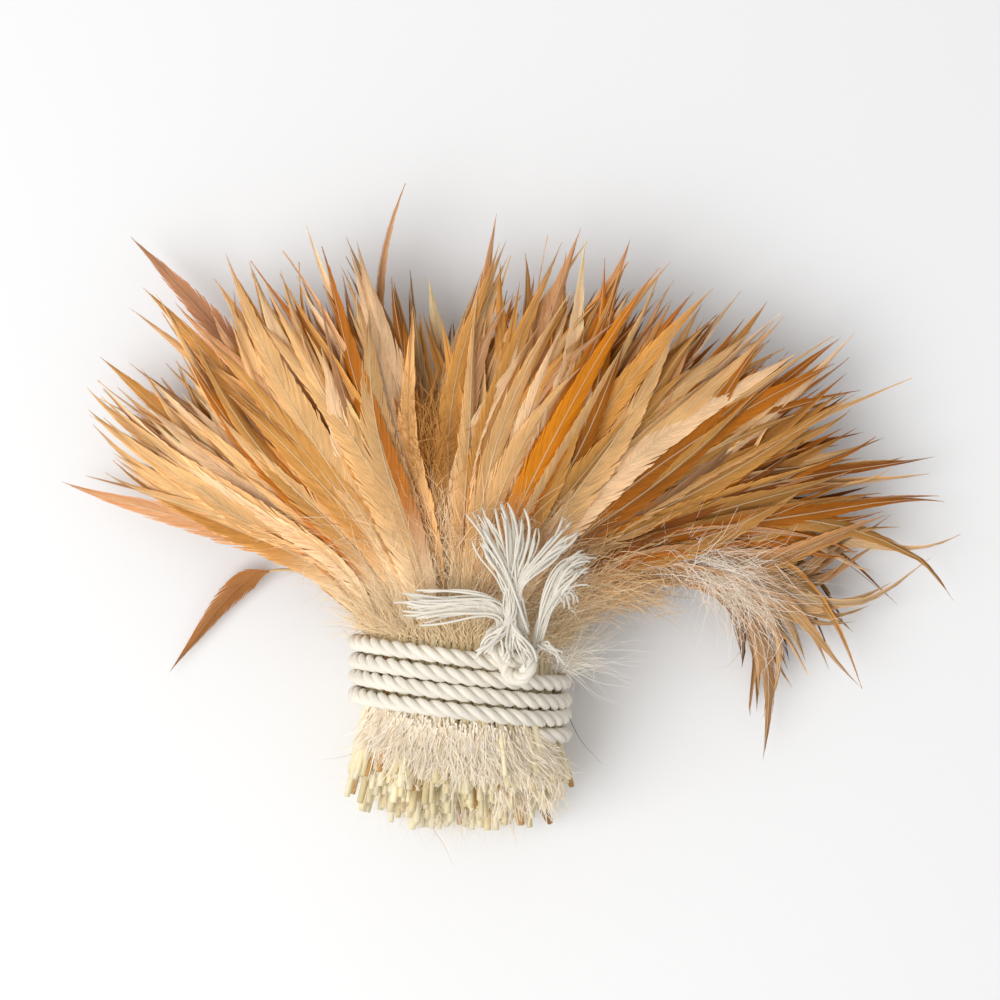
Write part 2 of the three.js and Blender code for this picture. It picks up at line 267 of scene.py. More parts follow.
# %% A helper that makes an object
def add_piece(name, parts, material):
    """One object from parts, each (points, quads, colours, guide, sheet): points in millimetres,
    quads of vertex numbers, a colour a point, and the two maps with a value a corner. Where there
    are several parts, each gets a band of the OFBake sheet as wide as its share of the faces."""
    faces = [len(part[1]) for part in parts]
    shares = np.cumsum([0, *faces]) / sum(faces)
    firsts = np.cumsum([0, *(len(part[0]) for part in parts)])
    points = np.concatenate([part[0] for part in parts]) * MM
    quads = np.concatenate([part[1] + first for part, first in zip(parts, firsts)])
    colours = np.concatenate([part[2] for part in parts])
    guide = np.concatenate([part[3] for part in parts])
    sheet = np.concatenate([part[4] * (1, high - low) + (0, low)
                            for part, low, high in zip(parts, shares, shares[1:])])
    mesh = bpy.data.meshes.new(name)
    mesh.vertices.add(len(points))
    mesh.vertices.foreach_set("co", points.astype(np.float32).ravel())
    mesh.loops.add(quads.size)
    mesh.loops.foreach_set("vertex_index", quads.astype(np.int32).ravel())
    mesh.polygons.add(len(quads))
    mesh.polygons.foreach_set("loop_start", np.arange(0, quads.size, 4, dtype=np.int32))
    mesh.polygons.foreach_set("use_smooth", np.ones(len(quads), bool))
    mesh.update(calc_edges=True)
    for map_name, values in (("Guide", guide), ("OFBake", sheet)):
        layer = mesh.uv_layers.new(name=map_name)
        layer.uv.foreach_set("vector", values.astype(np.float32).ravel())
    mesh.uv_layers["Guide"].active_render = True
    shade = mesh.color_attributes.new("shade", "FLOAT_COLOR", "POINT")
    rgba = np.ones((len(points), 4), np.float32)
    rgba[:, :3] = np.clip(colours, 0, 1)
    shade.data.foreach_set("color", rgba.ravel())
    mesh.materials.append(material)
    piece = bpy.data.objects.new(name, mesh)
    bpy.context.scene.collection.objects.link(piece)
    print(f"{name}: {len(quads)} faces")
    return piece


print("CAD nodes that the pieces can replace:", len(frame["nodes"]))

# %% [markdown]
# ## Finishes
# Feather, quill and cotton all show fine lines along one direction: barbs, the grain of horn, and
# fibres. One node group makes such lines from the Guide map, and each material sets how wide, how
# long and how strong they are. The colour itself comes with the mesh, because it changes from
# feather to feather and along each of them.


# %% A node group for fine lines
def fine_lines_group():
    """Stretched noise on the Guide map: narrow in the first direction and long in the second. A
    broad noise is laid over it, and both darken or lighten the colour that comes in."""
    group = bpy.data.node_groups.new("fine lines", "ShaderNodeTree")
    face = group.interface
    for socket_name, kind in (("Colour", "NodeSocketColor"), ("Guide", "NodeSocketVector"),
                              ("Lines", "NodeSocketFloat"), ("Length", "NodeSocketFloat"),
                              ("Contrast", "NodeSocketFloat"), ("Patches", "NodeSocketFloat")):
        face.new_socket(socket_name, in_out="INPUT", socket_type=kind)
    for socket_name, kind in (("Colour", "NodeSocketColor"), ("Height", "NodeSocketFloat"),
                              ("Roughness", "NodeSocketFloat")):
        face.new_socket(socket_name, in_out="OUTPUT", socket_type=kind)
    nodes, links = group.nodes, group.links
    given, made = nodes.new("NodeGroupInput"), nodes.new("NodeGroupOutput")
    stretch = nodes.new("ShaderNodeCombineXYZ")
    links.new(given.outputs["Lines"], stretch.inputs["X"])
    links.new(given.outputs["Length"], stretch.inputs["Y"])
    along = nodes.new("ShaderNodeVectorMath")
    along.operation = "MULTIPLY"
    links.new(given.outputs["Guide"], along.inputs[0])
    links.new(stretch.outputs["Vector"], along.inputs[1])
    lines = nodes.new("ShaderNodeTexNoise")
    lines.noise_dimensions = "2D"
    lines.inputs["Scale"].default_value = 1.0
    lines.inputs["Detail"].default_value = 2.0
    lines.inputs["Roughness"].default_value = 0.65
    links.new(along.outputs["Vector"], lines.inputs["Vector"])
    place = nodes.new("ShaderNodeTexCoord")
    patches = nodes.new("ShaderNodeTexNoise")
    patches.inputs["Scale"].default_value = 90.0
    patches.inputs["Detail"].default_value = 1.0
    links.new(place.outputs["Object"], patches.inputs["Vector"])

    def worked_out(operation, *values):
        """A sum on values, each of which is a socket to link or a number to set."""
        node = nodes.new("ShaderNodeMath")
        node.operation = operation
        for socket, value in zip(node.inputs, values):
            if isinstance(value, float):
                socket.default_value = value
            else:
                links.new(value, socket)
        return node.outputs["Value"]

    def around_one(noise, strength):
        """1 plus the strength times the noise's distance from its middle."""
        centred = worked_out("SUBTRACT", noise.outputs["Fac"], 0.5)
        return worked_out("MULTIPLY_ADD", centred, strength, 1.0)

    factor = worked_out("MULTIPLY", around_one(lines, given.outputs["Contrast"]),
                        around_one(patches, given.outputs["Patches"]))
    tinted = nodes.new("ShaderNodeVectorMath")
    tinted.operation = "SCALE"
    links.new(given.outputs["Colour"], tinted.inputs[0])
    links.new(factor, tinted.inputs["Scale"])
    rough = nodes.new("ShaderNodeMapRange")
    rough.inputs["To Min"].default_value = 0.42
    rough.inputs["To Max"].default_value = 0.66
    links.new(lines.outputs["Fac"], rough.inputs["Value"])
    links.new(tinted.outputs["Vector"], made.inputs["Colour"])
    links.new(lines.outputs["Fac"], made.inputs["Height"])
    links.new(rough.outputs["Result"], made.inputs["Roughness"])
    return group


FINE_LINES = fine_lines_group()
print("node group:", FINE_LINES.name)


# %% The finishes
BARB_RELIEF, YARN_RELIEF = 0.00004, 0.0001  # metres


def lined_material(name, lines, length, contrast, patches, bump, sheen=0.0, relief=BARB_RELIEF):
    """A material that tints the mesh's own colour with fine lines and raises them as a bump."""
    material = bpy.data.materials.new(name)
    material.use_nodes = True
    nodes, links = material.node_tree.nodes, material.node_tree.links
    shader = nodes["Principled BSDF"]
    colour = nodes.new("ShaderNodeAttribute")
    colour.attribute_name = "shade"
    guide = nodes.new("ShaderNodeUVMap")
    guide.uv_map = "Guide"
    effect = nodes.new("ShaderNodeGroup")
    effect.node_tree = FINE_LINES
    for socket_name, value in (("Lines", lines), ("Length", length), ("Contrast", contrast),
                               ("Patches", patches)):
        effect.inputs[socket_name].default_value = value
    links.new(colour.outputs["Color"], effect.inputs["Colour"])
    links.new(guide.outputs["UV"], effect.inputs["Guide"])
    links.new(effect.outputs["Colour"], shader.inputs["Base Color"])
    links.new(effect.outputs["Roughness"], shader.inputs["Roughness"])
    raised = nodes.new("ShaderNodeBump")
    raised.inputs["Strength"].default_value = bump
    raised.inputs["Distance"].default_value = relief
    links.new(effect.outputs["Height"], raised.inputs["Height"])
    links.new(raised.outputs["Normal"], shader.inputs["Normal"])
    shader.inputs["Sheen Weight"].default_value = sheen
    shader.inputs["Sheen Roughness"].default_value = 0.4
    shader.inputs["Specular IOR Level"].default_value = 0.22
    return material


# The Guide map counts millimetres along the shaft, so 2.4 lines a unit are barbs 0.4 mm apart.
golden_barbs = lined_material("golden_barbs", 2.4, 0.8, 0.85, 0.34, 0.6, sheen=0.04)
amber_barbs = lined_material("amber_barbs", 2.4, 0.8, 0.95, 0.45, 0.6, sheen=0.03)
brown_barbs = lined_material("brown_barbs", 2.4, 0.8, 0.65, 0.30, 0.5, sheen=0.05)
soft_down = lined_material("soft_down", 1.0, 0.6, 0.15, 0.20, 0.1, sheen=0.25)
straw_horn = lined_material("straw_horn", 1.2, 0.5, 0.30, 0.45, 0.4)
cotton_fibre = lined_material("cotton_fibre", 3.2, 0.35, 0.30, 0.12, 0.8, 0.3, YARN_RELIEF)
print("finishes:", [m.name for m in bpy.data.materials])

# %% [markdown]
# ## A feather
# A hackle is a thin horn shaft with barbs on both sides. The barbs lean forward, cling to each
# other in locks, and part here and there, which gives the blade its fine broken edge. A card with
# a painted feather would look flat from the side, and hair strands for every barb would be far too
# many. So each blade is made of narrow locks: a lock starts on the shaft, sweeps forward and ends
# in a point on the outline, and it overlaps the next one slightly. Feathers on top of the fan get
# seventy-two locks a side. The hundreds below get twenty, as little more than their edges shows.


# %% The frame that a feather follows
DOWNY_SHARE = 0.34  # of the shaft, over which the blade widens


def shaft_frames(line, across, roll):
    """Directions at each point of each shaft: side lies in the fan's surface and face points out
    of it, both turned about the shaft by roll. line and across are (feathers, stations, 3)."""
    ahead = unit(np.gradient(line, axis=1))
    face = unit(np.cross(across, ahead))
    face *= np.where(face[..., 2:] < 0, -1.0, 1.0)
    side = unit(np.cross(ahead, face))
    turn, lean = np.cos(roll)[..., None], np.sin(roll)[..., None]
    return side * turn + face * lean, face * turn - side * lean


def along_shaft(values, share):
    """Values (feathers, stations, 3) read at shares (feathers, m) of the shaft, and straight
    between its stations."""
    at = np.clip(share, 0, 1) * (values.shape[1] - 1.001)
    i = at.astype(int)
    near = np.take_along_axis(values, i[..., None], 1)
    far = np.take_along_axis(values, i[..., None] + 1, 1)
    return mix(near, far, (at - i)[..., None])


def blade_profile(share, fullness):
    """Half width along a hackle: it widens over the downy part and runs out in a long point."""
    outer = np.clip((share - DOWNY_SHARE) / (1 - DOWNY_SHARE), 0, 1)
    return (0.55 + 0.45 * ease(share, -0.05, DOWNY_SHARE)) * (1 - outer**fullness) ** 1.2


print("half widths of a blade, foot to tip:",
      blade_profile(np.linspace(0, 1, 6), 1.7).round(2).tolist())


# %% The locks of many blades at once
BLADE_END = 0.975  # the last lock starts at this share of the shaft
LOCK_WIDTH, LOCK_TAPER = 1.6, 0.32  # a root in steps from lock to lock, and what it loses outwards
SLENDER, FEATHER_GAP = 12, 0.3  # of a feather's cell in the sheet, and its least height


def blade_parts(rng, line, ways, look, locks, reach_steps):
    """Blades with locks barb locks a side, worked out on (feathers, sides, locks, rails, steps).
    From a lock's root on the shaft, a step q out of 1 moves it q times the half width to the side,
    and forward by the lean times q to the power 1.4. Its two rails close up towards q = 1. look
    holds one value a feather, and ways the side and face directions along the shafts."""
    count, length = len(line), look["length"]
    shape = (count, 2, locks, 2, reach_steps)
    sides = np.array([1.0, -1.0])[:, None, None, None]
    lock = np.arange(locks)[:, None, None]
    rails = np.array([0.0, LOCK_WIDTH])[:, None] - LOCK_WIDTH / 2
    q = np.linspace(0, 1, reach_steps) ** 0.85
    side_way, face_way = ways

    def each(values):
        """One value a feather, ready to meet arrays of the full shape."""
        return values[:, None, None, None, None]

    def per_lock(spread):
        """A random value for each lock."""
        return spread * rng.standard_normal((count, 2, locks, 1, 1))

    def listed(values):
        """Values of the full shape as one row a feather."""
        return np.broadcast_to(values, shape).reshape(count, -1)

    drift = each(look["split"]) * np.sin(
        lock * (0.55 + 0.5 * rng.random((count, 2, 1, 1, 1))) + rng.random((count, 2, 1, 1, 1)) * 6)
    root = ((lock + 0.56) / locks * BLADE_END
            + rails / locks * BLADE_END * (1 - LOCK_TAPER * q**3))
    share = root + each(look["lean"] / length) * q**1.4 + (drift + per_lock(0.2)) * q**2 / locks
    share = np.broadcast_to(np.clip(share, 0, 1), shape)
    half = each(look["half_width"]) * blade_profile(share, each(look["fullness"]))
    out = sides * q * half * (1 + per_lock(0.05) * q**2)
    lift = -each(look["cup"]) * q**2 * half + per_lock(0.07) * q + 0.06 * rails * q
    flat = share.reshape(count, -1)
    points = (along_shaft(line, flat) + along_shaft(side_way, flat) * listed(out)[..., None]
              + along_shaft(face_way, flat) * listed(lift)[..., None])

    q_flat, s_flat = listed(q)[..., None], flat[..., None]
    tone = 1 + listed(per_lock(0.05))[..., None]
    tone = tone * (1 - look["mark"][:, None, None] * (1 - q_flat) ** 1.5 * ease(s_flat, 0.1, 0.4))
    tone = tone * (1 + 0.16 * ease(q_flat, 0.55, 1)) * (1 + look["tip"][:, None, None] * s_flat**3)
    downy = 0.85 * (1 - ease(s_flat, 0.02, look["downy"][:, None, None]))
    colours = mix(look["colour"][:, None, :] * tone, look["down"][:, None, :] * tone, downy)

    right = repeated(grid_quads(2, reach_steps), 2 * reach_steps, locks)
    both = np.concatenate([right, right[:, ::-1] + 2 * reach_steps * locks])
    quads = repeated(both, 4 * reach_steps * locks, count)
    signed, shift = listed(sides * q), rng.random((count, 1)) * 900
    guide = np.stack([listed(root) * length[:, None] + shift, signed * 3 + shift], -1)
    sheet = cells(flat, signed / 2 + 0.5, SLENDER)
    return (above_table(points.reshape(-1, 3), FEATHER_GAP), quads, colours.reshape(-1, 3),
            cornered(guide, quads), cornered(sheet, quads))


print("share of a lock's root that lies under its neighbour:", round(1 - 1 / LOCK_WIDTH, 3))


# %% The shafts on the blades
SHAFT_BASE, SHAFT_TIP, SHAFT_END = 0.34, 0.07, 0.985


def shaft_parts(line, ways, look, steps):
    """A ridge along each blade: three points a station, at minus, zero and plus the shaft's half
    width to the side, of which the middle one stands a half width out and the others a quarter."""
    count = len(line)
    side_way, face_way = ways
    s = np.linspace(0, SHAFT_END, steps)
    width = mix(SHAFT_BASE, SHAFT_TIP, s)[None, :, None] * look["shaft"][:, None, None]
    c = np.array([1.0, 0.0, -1.0])
    shape = (count, steps, 3)
    share = np.broadcast_to(s[None, :, None], shape).reshape(count, -1)
    offset = np.broadcast_to(width * c, shape).reshape(count, -1, 1)
    ridge = np.broadcast_to(width * (0.25 + 0.75 * (c == 0)) + 0.06, shape)
    points = (along_shaft(line, share) + along_shaft(side_way, share) * offset
              + along_shaft(face_way, share) * ridge.reshape(count, -1, 1))
    pale = mix(look["colour"][:, None, :], look["down"][:, None, :], 0.45)
    pale = pale * (0.96 - 0.45 * look["mark"][:, None, None])
    quads = repeated(grid_quads(steps, 3, flip=True), 3 * steps, count)
    edge = np.broadcast_to(np.tile(c, steps), share.shape)
    return (above_table(points.reshape(-1, 3), FEATHER_GAP), quads,
            np.broadcast_to(pale, points.shape).reshape(-1, 3),
            cornered(np.stack([edge, share * 9], -1), quads),
            cornered(cells(share, 0.5 + 0.05 * edge, SLENDER), quads))


def feather_parts(rng, line, across, look, locks, reach_steps, shaft_steps):
    """Whole feathers: their blades and the shafts on them."""
    ways = shaft_frames(line, across, look["roll"])
    return [blade_parts(rng, line, ways, look, locks, reach_steps),
            shaft_parts(line, ways, look, shaft_steps)]


FINE = {"locks": 72, "reach_steps": 4, "shaft_steps": 14}
PLAIN = {"locks": 20, "reach_steps": 3, "shaft_steps": 6}
print("faces of a fine and of a plain blade:",
      [2 * kind["locks"] * (kind["reach_steps"] - 1) for kind in (FINE, PLAIN)])

# %% [markdown]
# ## Feathers of the fan
# A feather picks a place and a level in the tie, and its shaft follows the fan's flow from there.
# It sways a little across the flow, in one bow or in an S, and turns about its own shaft, so that
# no two lie alike. The lower feathers get darker colours as painted shade, since hardly any light
# reaches them.


# %% How the feathers differ
# How far the tips lean across the fan, in shares of the tie: the far left ones lean up, the crown
# parts left of its middle, and the drooping ones straighten out.
LEAN_PLACES = (-0.95, -0.72, -0.42, -0.17, -0.08, 0.30, 0.80, 0.88, 0.96)
LEANS = (0.10, 0.08, 0.02, -0.05, 0.05, 0.02, 0.00, -0.05, -0.06)
PARTING, PARTING_WIDTH, CLUMPS = -0.12, 0.05, 5
# How much the sway of a clump, of a feather and of its wave vary, in shares of the tie, and how
# much a feather's turn about its shaft, its twist (both in radians) and its lightness do.
CLUMP_SWAY, OWN_SWAY, WAVE, TURN, TWIST, LIGHTNESS = 0.032, 0.034, 0.024, 0.32, 0.35, 0.10
# What differs between feathers on top and under them: the runs where they start, the mean and the
# spread of how far their tips rise, the half widths, the colour of the down, which under them is a
# darker gold as painted shade, and whether they part in the crown.
TOP = {"starts": (1.0, 7.0), "rise": (0.3, 1.4), "half_widths": (3.0, 5.2),
       "down": DOWN_BEIGE, "parts": 1}
UNDER = {"starts": (1.0, 3.0), "rise": (0.0, 0.8), "half_widths": (2.8, 4.4),
         "down": SHADE_GOLD, "parts": 0}
print("the crown parts at x =", round(PARTING * TIE_HALF_WIDTH, 1), "over the tie")


# %% Feathers laid along the flow
def sown_feathers(rng, layer, count, places, levels, lengths, lean=0.0):
    """Centre lines and looks of count feathers between two places, two levels and two shares of
    the column's length. The sway is in shares of the tie: one part grows with the square of the
    distance, and one part is a wave. Neighbours share part of it, so they gather in clumps with
    gaps between their tips."""
    t = np.linspace(0, 1, 26)[None, :]
    even = (np.arange(count) + rng.random(count)) / count
    rng.shuffle(even)
    clump = np.minimum((even * CLUMPS).astype(int), CLUMPS - 1)
    place = mix(places[0], places[1], even)
    level = rng.uniform(levels[0], levels[1], count)
    parted = np.exp(-((place - PARTING) / PARTING_WIDTH) ** 2) * layer["parts"]
    level = (level - 0.3 * parted)[:, None]
    reach = across_fan(place, LENGTHS) * rng.uniform(lengths[0], lengths[1], count)
    reach = reach * (1 + rng.normal(0, 0.04, CLUMPS)[clump]).clip(0.9, 1.04)
    start = rng.uniform(*layer["starts"], count)
    run = start[:, None] + (reach - start)[:, None] * t
    bow = (np.interp(place, LEAN_PLACES, LEANS) + lean + rng.normal(0, CLUMP_SWAY, CLUMPS)[clump]
           + rng.normal(0, OWN_SWAY, count))[:, None]
    wave = rng.normal(0, WAVE, (count, 1))
    swayed = np.clip(place[:, None] + bow * t**2 + wave * np.sin(5 * t) * t, -1.04, 1.02)
    line = fan_point(swayed, level, run)
    rise = rng.normal(*layer["rise"], (count, 1))
    line[..., 2] = np.maximum(line[..., 2] + rise * t**2, 1.0 + 0.5 * rng.random((count, 1)))
    across = fan_point(swayed + 0.02, level, run) - fan_point(swayed - 0.02, level, run)
    colour = pick_colours(rng, place)
    # painted shade: the feathers under others get darker colours, since hardly any light reaches
    # them
    if layer is UNDER:  # hardly any light reaches them
        shade_tone = mix(SHADE_GOLD, SHADE_RUST, ease(place, 0.0, 0.7)[:, None])
        colour = mix(colour, shade_tone, rng.uniform(0.2, 0.75, (count, 1)))
    # painted shade: feathers in the hollow where the crown parts get darker colours; all colours
    # also get darker towards the right
    parting_shade_right_darker = (1 - 0.45 * parted) * (1 - 0.2 * ease(place, 0.1, 0.6))
    colour = colour * (1 + rng.normal(0, LIGHTNESS, (count, 1))) * parting_shade_right_darker[:, None]
    roll = rng.normal(0, TURN, (count, 1)) + rng.normal(0, TWIST, (count, 1)) * t
    look = {
        "length": reach - start,
        "half_width": rng.uniform(*layer["half_widths"], count),
        "fullness": rng.uniform(1.3, 2.1, count),
        "lean": rng.uniform(8, 12, count),
        "split": rng.uniform(0.1, 0.8, count),
        "cup": rng.normal(0.12, 0.2, count),
        "roll": roll,
        "mark": np.clip(rng.normal(0.10, 0.12, count) + 0.14 * ease(place, 0.2, 0.8), 0, 0.5),
        "tip": rng.normal(0.12, 0.10, count),
        "shaft": rng.uniform(0.8, 1.2, count),
        "down": np.tile(layer["down"], (count, 1)),
        "downy": rng.uniform(0.26, 0.42, count),
        "colour": colour,
    }
    return line, across, look


print("lengths of four trial feathers in the middle:", sown_feathers(
    np.random.default_rng(0), TOP, 4, (-0.1, 0.1), (0.9, 1.0), (0.72, 1.05))[2]["length"].round(1))

# %% The feathers of one group
# name of a column: place, level, share of the column's length, half width, colour, lean
SINGLES = {"centre_right": (0.24, 1.04, 0.97, 3.6, ORANGE, 0.08),
           "right_inner": (0.47, 1.06, 1.0, 4.2, CREAM, 0.04),
           "right_wing": (0.69, 0.8, 1.09, 3.2, TAN, -0.01),
           "right_low": (0.82, 0.7, 1.12, 3.0, DROOP_TAN, -0.03),
           "right_droop": (0.90, 0.9, 1.10, 3.2, DROOP_TAN, -0.05)}


def feather_group(rng, group):
    """Parts of one sheaf group: for each column, plain feathers through its depth and fine ones on
    its top. Some columns get one striking feather on top of all."""
    parts = []
    for name in group.columns:
        places = COLUMNS[name][:2]
        depth, surface = (group.low, group.high - 0.05), (group.high - 0.45, group.high + 0.03)
        sown = sown_feathers(rng, UNDER, group.plain, places, depth, (0.62, 0.95))
        parts += feather_parts(rng, *sown, **PLAIN)
        sown = sown_feathers(rng, TOP, group.fine, places, surface, (0.72, 1.05))
        parts += feather_parts(rng, *sown, **FINE)
        if name in SINGLES and group.high > 0.9:
            place, level, length, half_width, colour, lean = SINGLES[name]
            line, across, look = sown_feathers(rng, TOP, 1, (place, place), (level, level),
                                               (length, length), lean)
            look["colour"], look["half_width"][:] = colour[None], half_width
            parts += feather_parts(rng, line, across, look, **FINE)
    return parts


print("single striking feathers in", ", ".join(SINGLES))

# %% The groups of the fan, and the one that rides on the tie
# A group's body and columns, its lowest and highest level, its fine and plain feathers a column,
# its material and slot, and where it starts and ends to bend away from the tie.
Group = namedtuple("Group", "body columns low high fine plain barbs slot start end")
MIDDLE = ("centre_left", "centre", "centre_right")
GROUPS = {
    "centre": Group("tied_stump", MIDDLE, -0.92, 0.45, 6, 48, golden_barbs, "golden_blades",
                    None, None),
    "crown": Group("crown", MIDDLE, 0.45, 1.0, 44, 26, golden_barbs, "golden_blades",
                   (0, 14, 45), (0, 45, 45)),
    "left_wing": Group("left_wing", ("left_wing",), -0.9, 1.0, 46, 54, golden_barbs,
                       "golden_blades", (-12, 12, 20), (-40, 32, 20)),
    "left_inner": Group("left_inner", ("left_inner",), -0.9, 1.0, 46, 58, golden_barbs,
                        "golden_blades", (-9, 12, 20), (-28, 42, 20)),
    "right_inner": Group("right_inner", ("right_inner",), -0.9, 1.0, 46, 58, amber_barbs,
                         "amber_blades", (7, 12, 20), (24, 42, 20)),
    "right_wing": Group("right_wing", ("right_wing",), -0.9, 1.0, 46, 54, amber_barbs,
                        "amber_blades", (12, 12, 20), (40, 34, 20)),
    "right_low": Group("right_low", ("right_low",), -0.85, 1.0, 34, 36, amber_barbs,
                       "amber_blades", (15, 13, 20), (46, 30, 20)),
    "right_droop": Group("right_droop", ("right_droop",), -0.7, 0.95, 28, 20, amber_barbs,
                         "amber_blades", (15, 13, 20), (46, 26, 20)),
}
BLADE_SEED, STRAY_SEED, DOWN_SEED, TAIL_SEED = 10, 60, 80, 30


def hold(piece, group):
    """Rides a piece on its group's body where the group has no hinge; otherwise bakes its transform
    into the mesh.
    """
    if group.start is None:
        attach(piece, group.body)
    else:
        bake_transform(piece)


for seed, (name, group) in enumerate(GROUPS.items()):
    rng = np.random.default_rng(BLADE_SEED + seed)
    blades = add_piece(f"feathers_{name}", feather_group(rng, group), group.barbs)
    members = frame["record"]["behaviour"]["bodies"][group.body]
    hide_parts(*[n for n in members if n.startswith("blades_")])
    hold(blades, group)

# %% [markdown]
# ## Stray feathers
# Three feathers have slipped out of their sheaves: one points far up on the left, one stands out
# beyond the crown, and one lies low on the left with the down worn off its shaft. Each is a blade
# on the outer part of its curve and a bare round shaft on the inner part, so it uses the same
# functions as the fan, with its own short line.


# %% Rods along lines
HAIR_GAP = 0.05  # the least height of rods and hairs over the table


def rod_parts(lines, radii, colours, sides, ahead=None, up=(0, 0, 1), lobes=(0, 0.0, 0.0)):
    """Closed rods along many lines at once. A ring at each station is cosine times the side
    direction plus sine times the lifted direction, times the radius. lobes (number, share, turn)
    swells the ring by share times the cosine of number times the angle, turned a little further
    at each station. Both ends are closed by a fan of quads. colours is one a rod or a station."""
    count, stations = lines.shape[:2]
    ahead = unit(np.gradient(lines, axis=1)) if ahead is None else ahead
    side = unit(np.cross(ahead, np.broadcast_to(up, lines.shape)))
    lift = np.cross(side, ahead)
    angle = 2 * np.pi * np.arange(sides) / sides
    number, share, turn = lobes
    swell = 1 + share * np.cos(number * (angle[None, :] + turn * np.arange(stations)[:, None]))
    ring = (side[:, :, None, :] * np.cos(angle)[:, None] + lift[:, :, None, :]
            * np.sin(angle)[:, None]) * swell[None, :, :, None]
    points = (lines[:, :, None, :] + ring * radii[:, :, None, None]).reshape(-1, 3)
    i, j = (a.ravel() for a in np.meshgrid(np.arange(stations - 1), np.arange(sides),
                                           indexing="ij"))
    next_j = (j + 1) % sides
    wall = np.stack([i * sides + j, (i + 1) * sides + j, (i + 1) * sides + next_j,
                     i * sides + next_j], 1)
    fan = np.array([(0, k, k + 1, k + 2) for k in range(1, sides - 2, 2)])
    quads = np.concatenate([wall, fan, fan[:, ::-1] + (stations - 1) * sides])
    along = np.linalg.norm(np.diff(lines, axis=1), axis=-1).cumsum(1)
    along = np.concatenate([np.zeros((count, 1)), along], 1)
    local = np.stack([np.stack([j, j, j + 1, j + 1], 1) / sides,
                      np.stack([i, i + 1, i + 1, i], 1)], -1)
    ends = np.zeros((2 * len(fan), 4, 2))
    ends[len(fan):, :, 1] = stations - 1
    local = np.concatenate([local, ends])
    station = local[..., 1].astype(int)
    rod = np.arange(count)[:, None, None]
    across = np.broadcast_to(local[..., 0], (count, *local.shape[:2]))
    length = along[rod, station[None]]
    girth = 2 * np.pi * radii.mean()
    guide = np.stack([across * girth + rod * 7.3, length * 0.5 + rod * 7.3], -1)
    sheet = cells(np.broadcast_to(station / (stations - 1), across.shape), across)
    if colours.ndim == 2:
        colours = np.broadcast_to(colours[:, None, :], lines.shape)
    tints = np.broadcast_to(colours[:, :, None, :], (count, stations, sides, 3)).reshape(-1, 3)
    return (above_table(points, HAIR_GAP), repeated(quads, stations * sides, count), tints,
            guide.reshape(-1, 4, 2), sheet.reshape(-1, 4, 2))


def curve_through(points, stations):
    """A smooth line through a few points: the polynomial that takes each of them in turn at even
    steps, worked out as Lagrange sums."""
    points = np.array(points, float)
    knots = np.linspace(0, 1, len(points))
    t = np.linspace(0, 1, stations)
    line = np.zeros((stations, 3))
    for k, point in enumerate(points):
        others = np.delete(knots, k)
        line += np.prod((t[:, None] - others) / (knots[k] - others), axis=1)[:, None] * point
    return line


print("middle of a curve through three points:",
      curve_through([(0, 0, 0), (5, 3, 0), (10, 0, 0)], 5)[2])


# %% The three stray feathers
LOW_ROOT = fan_point(-1.0, -0.55, 18.0)[0]
STRAYS = {  # name: points of its curve, colour, half width, turn about the shaft, mark
    "stray_upper_left": ([fan_point(-0.46, 0, 60.0)[0], fan_point(-0.465, 0, 90.0)[0],
                          fan_point(-0.48, 0.1, 125.0)[0]], linear(206, 146, 104), 3.3, 0.35, 0.35),
    "stray_upper_middle": ([fan_point(-0.18, 0, 58.0)[0], fan_point(-0.175, 0, 86.0)[0],
                            fan_point(-0.1, 0.3, 114.0)[0]], linear(214, 160, 112), 1.9, 0.9, 0.2),
    "stray_lower_left": ([LOW_ROOT, LOW_ROOT + (-16, 1, -2), LOW_ROOT + (-27, -7, -3),
                          LOW_ROOT + (-41, -25, -5)], linear(186, 124, 66), 2.9, 0.2, 0.3),
}
STATIONS, BARE = 60, 18  # points on a stray's curve, and how many of them are bare shaft


def one(value):
    """A value as the array that a single feather needs."""
    return np.array([value], float)


for seed, (name, (points, colour, half_width, turn, mark)) in enumerate(STRAYS.items()):
    rng = np.random.default_rng(STRAY_SEED + seed)
    whole = curve_through(points, STATIONS)
    line = whole[BARE:][None]
    across = np.broadcast_to(np.cross(np.gradient(whole, axis=0)[BARE:], (0, 0, 1))[None],
                             line.shape)
    look = {
        "length": one(np.linalg.norm(np.diff(line[0], axis=0), axis=1).sum()),
        "half_width": one(half_width), "fullness": one(1.7), "lean": one(8.0), "split": one(0.5),
        "cup": one(0.25), "roll": np.full((1, line.shape[1]), turn), "mark": one(mark),
        "tip": one(-0.05), "shaft": one(1.3), "down": colour[None] * 1.15, "downy": one(0.12),
        "colour": colour[None],
    }
    parts = feather_parts(rng, line, across, look, locks=46, reach_steps=4, shaft_steps=20)
    bare = whole[: BARE + 6][None]  # it ends inside the blade
    parts.append(rod_parts(bare, np.linspace(0.42, 0.3, bare.shape[1])[None],
                           linear(222, 190, 140)[None], 8))
    stray = add_piece(f"feather_{name}", parts, brown_barbs)
    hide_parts(name)
    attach(stray, name)

# %% [markdown]
# ## Down
# The lowest part of each feather is down: barbs without hooks, which never hold together as a
# blade. Over the tie they merge into one soft cloud. Each hair is a strip of three quads that
# starts among the shafts, bends away and thins out, and several thousand are made in one go.


